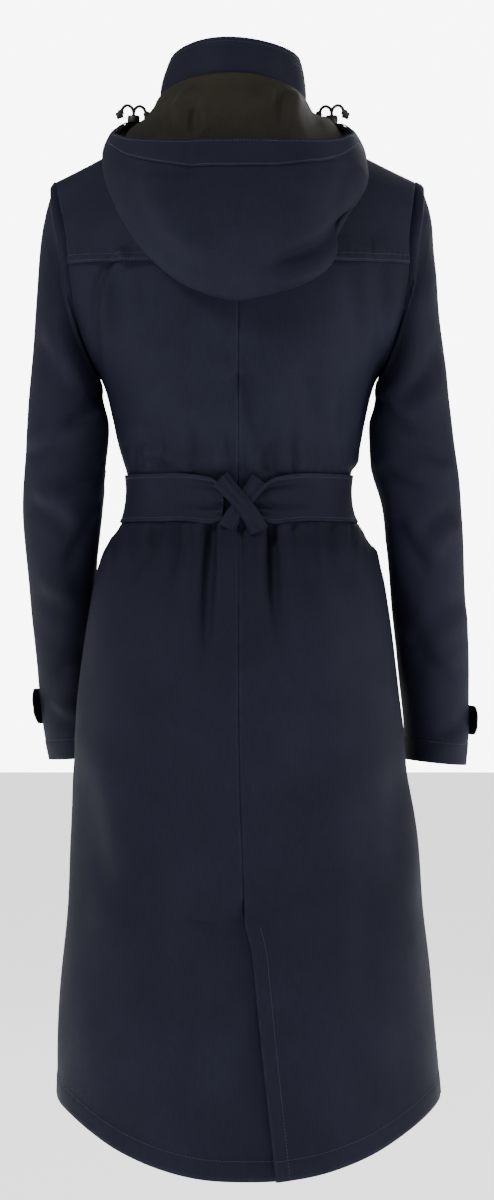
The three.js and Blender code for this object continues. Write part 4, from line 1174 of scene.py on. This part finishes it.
wide, rows = np.abs(degrees) < LINING_END, along[:-6, None]
facing = out[:-6, wide]
inside = hood[:-6, wide] - facing * (CLOTH + 1.4)
near = ease((0.42 - rows) / 0.12)
x, y, z = inside[..., 0], inside[..., 1], inside[..., 2]
rise = near * ease(rows / 0.07) * (3.0 + creases(x, z, LINING_FOLDS) + rumple(x * 2, y, z * 2, 1.4))
rise = np.maximum(rise, 0.3 * near) * ease((LINING_END - 2 - np.abs(degrees[wide])) / 10)
inside = inside - facing * rise[..., None]
piece = wall("hood_lining_cloth", inside, inside - facing * LIGHT_CLOTH, INSIDE)
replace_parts(piece, "hood_lining")
cut(inside)

band, reach = along >= 1 - HEM_WIDE, np.abs(degrees) <= HEM_END
hem = hood[band][:, reach] + out[band][:, reach] * (0.4 + 1.2)
out = sewn("hood_face_hem", "hood_hem", hem, thick=1.1, centre=centre)
seam("hood_stitches", hem, out, ("top", 2), ("bottom", 2.5))

# ------------------------------------------------------------------ placket


def opening_point(off, v, outset):
    """A point a distance off the middle of the front opening."""
    middle = coat(0, v, -1, -1, -outset)
    beside = np.where((off > 0)[..., None], coat(-FRONT_OVERLAP, v, -1, -1, -outset),
                      coat(0.125, v, -1, -1, -outset))
    share = off / (beside[..., 0] - middle[..., 0])
    return mix(middle, beside, share[..., None])


off = spaced(-22, 22, 24, 0.6)[None, :]
v = np.concatenate([np.linspace(0.04, 1, 70)[:-1], np.linspace(UNDERARM_Z, -1090, 190)])[:, None]
off, v = np.broadcast_arrays(off, v)
placket = opening_point(off, v, 1.0 + 1.4 + 0.25 * np.sin(v / 17) * (v < 0))
out = sewn("front_placket", "placket", placket, thick=1.2)
seam("placket_stitches", placket, out, ("left", 5), ("right", 5))

# ------------------------------------------------------------------ belt and knot

BELT_ROWS, BELT_COLUMNS = 26, 420
STRAND_CORE = 0.35  # the hollow in a strand, as a share of it


def belt():
    """One strip round the waist, from the knot past the wearer's left, front and right."""
    turn = spaced(0.06, 3.94, BELT_COLUMNS, 0.55)
    quarter = np.minimum(turn.astype(int), 3)
    part = turn - quarter
    u = np.where(quarter % 2 == 0, part, 1 - part)
    side = np.where((quarter == 0) | (quarter == 3), 1, -1)
    hand = np.where(quarter < 2, 1, -1)
    width = spaced(0, 1, BELT_ROWS, 0.5)
    grid = np.zeros((BELT_ROWS, BELT_COLUMNS, 3))
    outset = 0.5 + BELT_WALL
    over = np.where(side < 0, 2.9 * ease((0.26 - u) / 0.1), 0)
    for pick_side in (1, -1):
        for pick_hand in (1, -1):
            chosen = (side == pick_side) & (hand == pick_hand)
            z = BELT_MIDDLE + BELT_HALF * (1 - 2 * width[:, None])
            out = -outset - over[None, chosen]
            grid[:, chosen] = coat(u[None, chosen], z, pick_side, pick_hand, out)
    behind = (side > 0)[None, :]
    to_knot = np.abs(grid[..., 0] - KNOT_X)
    gather = np.where(behind, mix(BELT_GATHERED, 1, ease((to_knot - 8) / 30)), 1)
    dip = np.where(behind, -6 * (1 - ease((to_knot - 10) / 60)), 0)
    grid[..., 2] = BELT_MIDDLE + (grid[..., 2] - BELT_MIDDLE) * gather + dip
    drawn = np.where(behind, 1 - ease((to_knot - 10) / 78), 0)
    across = width[:, None]
    wander = 0.1 * np.sin(to_knot / 12)
    pleats = np.sin(2 * math.pi * (2.6 * across + 0.2)) + 0.6 * np.sin(2 * math.pi * (4.3 * across + wander))
    out = outwards(grid, (0, 0, BELT_MIDDLE))
    x, y = grid[..., 0], grid[..., 1]
    push = 2.6 * drawn * pleats + 2.4 * drawn
    push += (1 - drawn) * 0.7 * rumple(x, y, grid[..., 2] * 3, 1.0)
    push += 0.5 * np.sin(math.pi * across)
    return grid + out * push[..., None]


belt_points = belt()
rests_on, centre = ["back_panel_left", "back_panel_right"], (0, 0, BELT_MIDDLE)
out = sewn("waist_belt", "belt", belt_points, thick=2.0, centre=centre)
seam("belt_stitches", belt_points, out, ("top", 4), ("bottom", 4))


def strand(name, route, half, thick, pleats):
    """A gathered stretch of the belt across the knot."""
    knots = np.array(route, float)
    share = np.linspace(0, 1, 60)
    line = smooth_line(knots[:, None, :].repeat(60, 1), share)
    along = np.gradient(line, axis=0)
    along /= np.linalg.norm(along, axis=1, keepdims=True)
    across = np.cross(along, [0, 1, 0])
    across /= np.linalg.norm(across, axis=1, keepdims=True)
    out = np.cross(across, along)
    angle = np.linspace(0, 2 * math.pi, 57)[:-1]
    wave = [np.sign(f(angle)) * np.abs(f(angle)) ** 0.75 for f in (np.cos, np.sin)]
    fold = 1 + 0.16 * np.sin(angle * pleats + 1.2) + 0.07 * np.sin(angle * (pleats + 4))
    spread = 1 + 0.2 * (2 * share - 1) ** 2
    ring = (
        line[:, None] + across[:, None] * (half * wave[0] * spread[:, None])[..., None]
        + out[:, None] * (thick * wave[1] * fold * (1.15 - 0.5 * (2 * share[:, None] - 1) ** 2))[..., None]
    )
    shrink = np.linspace(0.86, 0.05, 5)
    first = [mix(ring[0].mean(0), ring[0], s) for s in shrink[::-1]]
    last = [mix(ring[-1].mean(0), ring[-1], s) for s in shrink]
    rings = np.array([*first, *ring, *last])
    core = rings.mean(1, keepdims=True)
    return wall(name, rings, mix(core, rings, STRAND_CORE), NAVY, True)


KNOT_OVER = [[20, 105, -422], [11, 112, -432], [-4, 117, -449], [-15, 115, -465], [-22, 111, -479]]
KNOT_UNDER = [[-23, 104, -423], [-14, 109, -435], [-4, 110, -449], [6, 110, -463], [13, 109, -476]]
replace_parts(strand("knot_top_strand", KNOT_OVER, 9.5, 4.2, 7), "knot_over")
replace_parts(strand("knot_under_strand", KNOT_UNDER, 9.0, 3.4, 6), "knot_under")

# ------------------------------------------------------------------ studs, eyelets and cord locks


def chosen_faces(piece, wanted):
    """Selects the faces that a test picks out."""
    bpy.ops.object.mode_set(mode="OBJECT")
    for face in piece.data.polygons:
        face.select = wanted(face)
    bpy.ops.object.mode_set(mode="EDIT")
    bpy.ops.mesh.select_mode(type="FACE")


def started(kind, **sizes):
    """A new model from a plain solid, open for editing with nothing selected."""
    bpy.ops.object.select_all(action="DESELECT")
    getattr(bpy.ops.mesh, f"primitive_{kind}_add")(**sizes)
    piece = bpy.context.object
    bpy.ops.object.mode_set(mode="EDIT")
    bpy.ops.mesh.select_all(action="DESELECT")
    return piece


def bevelled(piece, width, segments, angle=30):
    """Rounds every edge that is sharper than an angle in degrees, and shades the model smooth."""
    bpy.ops.object.mode_set(mode="OBJECT")
    soften = piece.modifiers.new("soft_edges", "BEVEL")
    soften.width, soften.segments, soften.angle_limit = width, segments, math.radians(angle)
    bpy.ops.object.modifier_apply(modifier=soften.name)
    bpy.ops.object.shade_smooth_by_angle(angle=math.radians(40))
    return piece


def stud_cap():
    """A press stud's cap: a domed rim round a shallow dish with a raised boss."""
    cap = started("cylinder", vertices=40, radius=0.0066, depth=0.0017, location=(0, 0, 0.00095))
    chosen_faces(cap, lambda face: face.normal.z > 0.9)
    bpy.ops.mesh.inset(thickness=0.0013)
    bpy.ops.transform.translate(value=(0, 0, 0.00032))
    bpy.ops.mesh.inset(thickness=0.0005)
    bpy.ops.transform.translate(value=(0, 0, -0.00055))
    bpy.ops.mesh.inset(thickness=0.0022)
    bpy.ops.transform.translate(value=(0, 0, 0.0003))
    bpy.ops.mesh.inset(thickness=0.0006)
    bpy.ops.transform.translate(value=(0, 0, 0.0002))
    return bevelled(cap, 0.0003, 3)


def lock_barrel():
    """A cord lock: a finely ribbed barrel with a stepped end above and below."""
    barrel = started("cylinder", vertices=40, radius=0.0062, depth=0.009, location=(0, 0, 0.0045))
    chosen_faces(barrel, lambda face: abs(face.normal.z) > 0.9)
    bpy.ops.mesh.inset(thickness=0.0022)
    bpy.ops.mesh.extrude_region_move()
    bpy.ops.transform.resize(value=(0.9, 0.9, 0.72))
    chosen_faces(barrel, lambda face: abs(face.normal.z) < 0.1 and face.center.xy.length > 0.005)
    bpy.ops.mesh.inset(thickness=0.0021)
    bpy.ops.transform.resize(value=(1.12, 1.12, 1))
    return bevelled(barrel, 0.0004, 3)


def eyelet_ring():
    """A rolled metal eyelet, flat underneath."""
    ring = started("torus", major_radius=0.0050, minor_radius=0.00095, major_segments=48, minor_segments=16,
                   location=(0, 0, 0.00085))
    bpy.ops.mesh.select_all(action="SELECT")
    bpy.ops.transform.resize(value=(1, 1, 0.85))
    bpy.ops.object.mode_set(mode="OBJECT")
    bpy.ops.object.shade_smooth()
    return ring


def pointing(node):
    """Where a round CAD node stands, the direction of its axis, and its height along that."""
    points = np.array([vertex.co for vertex in bpy.data.objects[node].data.vertices])
    middle = points.mean(0)
    _, _, axes = np.linalg.svd(points - middle, full_matrices=False)
    lengths = np.ptp((points - middle) @ axes.T, axis=0)
    axis = axes[np.argmin(lengths)]
    return middle, axis, lengths.min()


def copied(model, name, finish, place, direction, node):
    """A copy of a model with its own mesh, set in its place with its axis along a direction."""
    mesh = model.data.copy()
    mesh.name = name
    turn = Vector((0, 0, 1)).rotation_difference(Vector(direction)).to_matrix().to_4x4()
    mesh.transform(Matrix.Translation(Vector(place)) @ turn)
    mesh.materials.clear()
    mesh.materials.append(finish)
    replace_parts(placed(name, mesh), node)


cap = stud_cap()
for node in [f"press_stud_{n}" for n in range(1, 9)] + ["cuff_stud_left", "cuff_stud_right"]:
    middle, axis, height = pointing(node)
    if node.startswith("press"):
        axis = axis if axis[1] < 0 else -axis
    else:
        away = 1 if node.endswith("left") else -1
        axis = axis if axis[0] * away > 0 else -axis
    copied(cap, f"{node}_cap", METAL, middle - axis * height / 2, axis, node)
bpy.data.objects.remove(cap)

EYELET_ANGLE, EYELET_LIFT, LOCK_LIFT, UP = 118.0, 2.1, 3, (0, 0, 1)
exits = {}
ring, barrel = eyelet_ring(), lock_barrel()
for name, hand in (("left", 1), ("right", -1)):
    foot = hood_point(np.array([[1.0]]), np.array([[EYELET_ANGLE * hand]]))[0, 0] + [0, 0, EYELET_LIFT]
    exits[name], lock_foot = foot, foot + [0, 0, LOCK_LIFT]
    copied(ring, f"eyelet_ring_{name}", METAL, foot * MM, UP, f"eyelet_{name}")
    copied(barrel, f"lock_barrel_{name}", PLASTIC, lock_foot * MM, UP, f"cord_lock_{name}")
bpy.data.objects.remove(ring)
bpy.data.objects.remove(barrel)

# ------------------------------------------------------------------ drawcord ends

CORD_RADIUS, CORD_SETS, CORD_SIDES, KNOT_RADIUS, KNOT_LONG, KNOT_SIDES = 1.75, 37, 16, 4.5, 11, 18
CORD_ROUND = 0.0094  # the way round the cord, for its braid
CORD_SPREAD = np.array([
    [0, 0, 0.4], [0, 0, 5], [0, 0, 11], [2, 0.6, 16], [6.5, 2, 18.5], [11, 3.4, 16.5], [13.6, 4.4, 11.5],
])


def tube(name, line, radii, sides, finish):
    """A round tube along a line of points, closed at both ends, with a UV map in metres."""
    along = np.gradient(line, axis=0)
    along /= np.linalg.norm(along, axis=1, keepdims=True)
    across = np.cross(along, [0.2, 1.0, 0.1])
    across /= np.linalg.norm(across, axis=1, keepdims=True)
    out = np.cross(across, along)
    angle = np.linspace(0, 2 * math.pi, sides + 1)[:-1]
    ring = across[:, None] * np.cos(angle)[None, :, None] + out[:, None] * np.sin(angle)[None, :, None]
    points = line[:, None] + ring * radii[:, None, None]
    count = len(line)
    r, c = np.meshgrid(np.arange(count - 1), np.arange(sides), indexing="ij")
    after = (c + 1) % sides
    faces = np.stack([r * sides + c, r * sides + after, (r + 1) * sides + after, (r + 1) * sides + c], -1)
    faces = faces.reshape(-1, 4)
    step = points[0, 1] - points[0, 0]
    turned = np.cross(step, points[1, 0] - points[0, 0]) @ (points[0, 0] - line[0]) < 0
    faces = faces[:, ::-1] if turned else faces
    ends = [list(range(sides)), list(range((count - 1) * sides, count * sides))]
    ends[0 if not turned else 1].reverse()
    mesh = bpy.data.meshes.new(name)
    mesh.from_pydata((points.reshape(-1, 3) * MM).tolist(), [], faces.tolist() + ends)
    reach = np.concatenate([[0], np.cumsum(np.linalg.norm(np.diff(line, axis=0), axis=1))])
    layer = mesh.uv_layers.new(name="cloth")
    for face in mesh.polygons:
        for loop in face.loop_indices:
            vertex = mesh.loops[loop].vertex_index
            layer.data[loop].uv = (vertex % sides / sides * CORD_ROUND, reach[vertex // sides] * MM)
    mesh.polygons.foreach_set("use_smooth", np.ones(len(mesh.polygons), bool))
    mesh.materials.append(finish)
    return placed(name, mesh)


for name, hand in (("left", 1), ("right", -1)):
    for which, side in (("a", 1), ("b", -1)):
        out, apart, high = CORD_SPREAD.T
        route = exits[name] + np.stack([hand * side * out, side * (1.95 + apart), high], -1)
        line = through(np.arange(7.0), route, np.linspace(0, 6, CORD_SETS))
        radii = np.full(CORD_SETS, CORD_RADIUS)
        cord = tube(f"drawcord_{name}_{which}", line, radii, CORD_SIDES, CORD)
        onward = line[-1] - line[-2]
        onward /= np.linalg.norm(onward)
        share = np.linspace(0, 1, 22)
        swell = KNOT_RADIUS * np.sin(math.pi * np.clip(share, 0.06, 0.94)) ** 0.5
        swell *= 1 + 0.16 * np.sin(share * 4 * math.pi)
        core = line[-1] + onward * (KNOT_LONG * share[:, None] - 1.5)
        knot = tube(f"drawcord_knot_{name}_{which}", core, swell, KNOT_SIDES, CORD)
        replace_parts(cord, f"cord_{name}_{which}")
        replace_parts(knot, f"cord_knot_{name}_{which}")
        tuple(line[0] * MM)
        (line * MM).tolist()

# ------------------------------------------------------------------ studio

FLOOR_Z = -1.42
SKY_LIGHT, SKY_SEEN = 0.36, 8.0  # how bright the sky is as light, and to the eye

bpy.ops.object.select_all(action="DESELECT")
bpy.ops.mesh.primitive_plane_add(size=30, location=(0, 0, FLOOR_Z))
floor = bpy.context.object
floor.name = "floor"
pale = Finish("pale_floor", Roughness=0.9, Emission_Strength=1.5)
pale.shader.inputs["Base Color"].default_value = (0.86, 0.86, 0.86, 1)
pale.shader.inputs["Emission Color"].default_value = (1, 1, 1, 1)
floor.data.materials.append(pale.material)

world = bpy.data.worlds.new("studio")
bpy.context.scene.world = world
world.use_nodes = True
sky = world.node_tree.nodes["Background"]
sky.inputs[0].default_value = (1, 1, 1, 1)
seen = world.node_tree.nodes.new("ShaderNodeLightPath")
bright = world.node_tree.nodes.new("ShaderNodeMapRange")
bright.inputs[3].default_value, bright.inputs[4].default_value = SKY_LIGHT, SKY_SEEN
world.node_tree.links.new(seen.outputs["Is Camera Ray"], bright.inputs[0])
world.node_tree.links.new(bright.outputs[0], sky.inputs[1])


def lamp(name, place, aim, size, power):
    """A round lamp that points at a place."""
    light = bpy.data.lights.new(name, "AREA")
    light.shape, light.size, light.energy = "DISK", size, power
    holder = bpy.data.objects.new(name, light)
    holder.location = place
    holder.rotation_euler = (Vector(aim) - Vector(place)).to_track_quat("-Z", "Y").to_euler()
    bpy.context.scene.collection.objects.link(holder)


lamp("key", (2.4, 2.0, 2.2), (0, 0, -0.5), 1.0, 110)
lamp("side", (-3.0, 0.9, 0.6), (0, 0, -0.5), 1.2, 60)
lamp("front_fill", (-1.2, -3.2, 1.2), (0, 0, -0.5), 2.0, 40)

lens = bpy.data.cameras.new("camera")
camera = bpy.data.objects.new("camera", lens)
lens.lens, lens.sensor_width = 115.2, 36
camera.location = (-0.009, 4.3, -0.554)
camera.rotation_euler = (math.pi / 2, 0, math.pi)
bpy.context.scene.collection.objects.link(camera)
bpy.context.scene.camera = camera
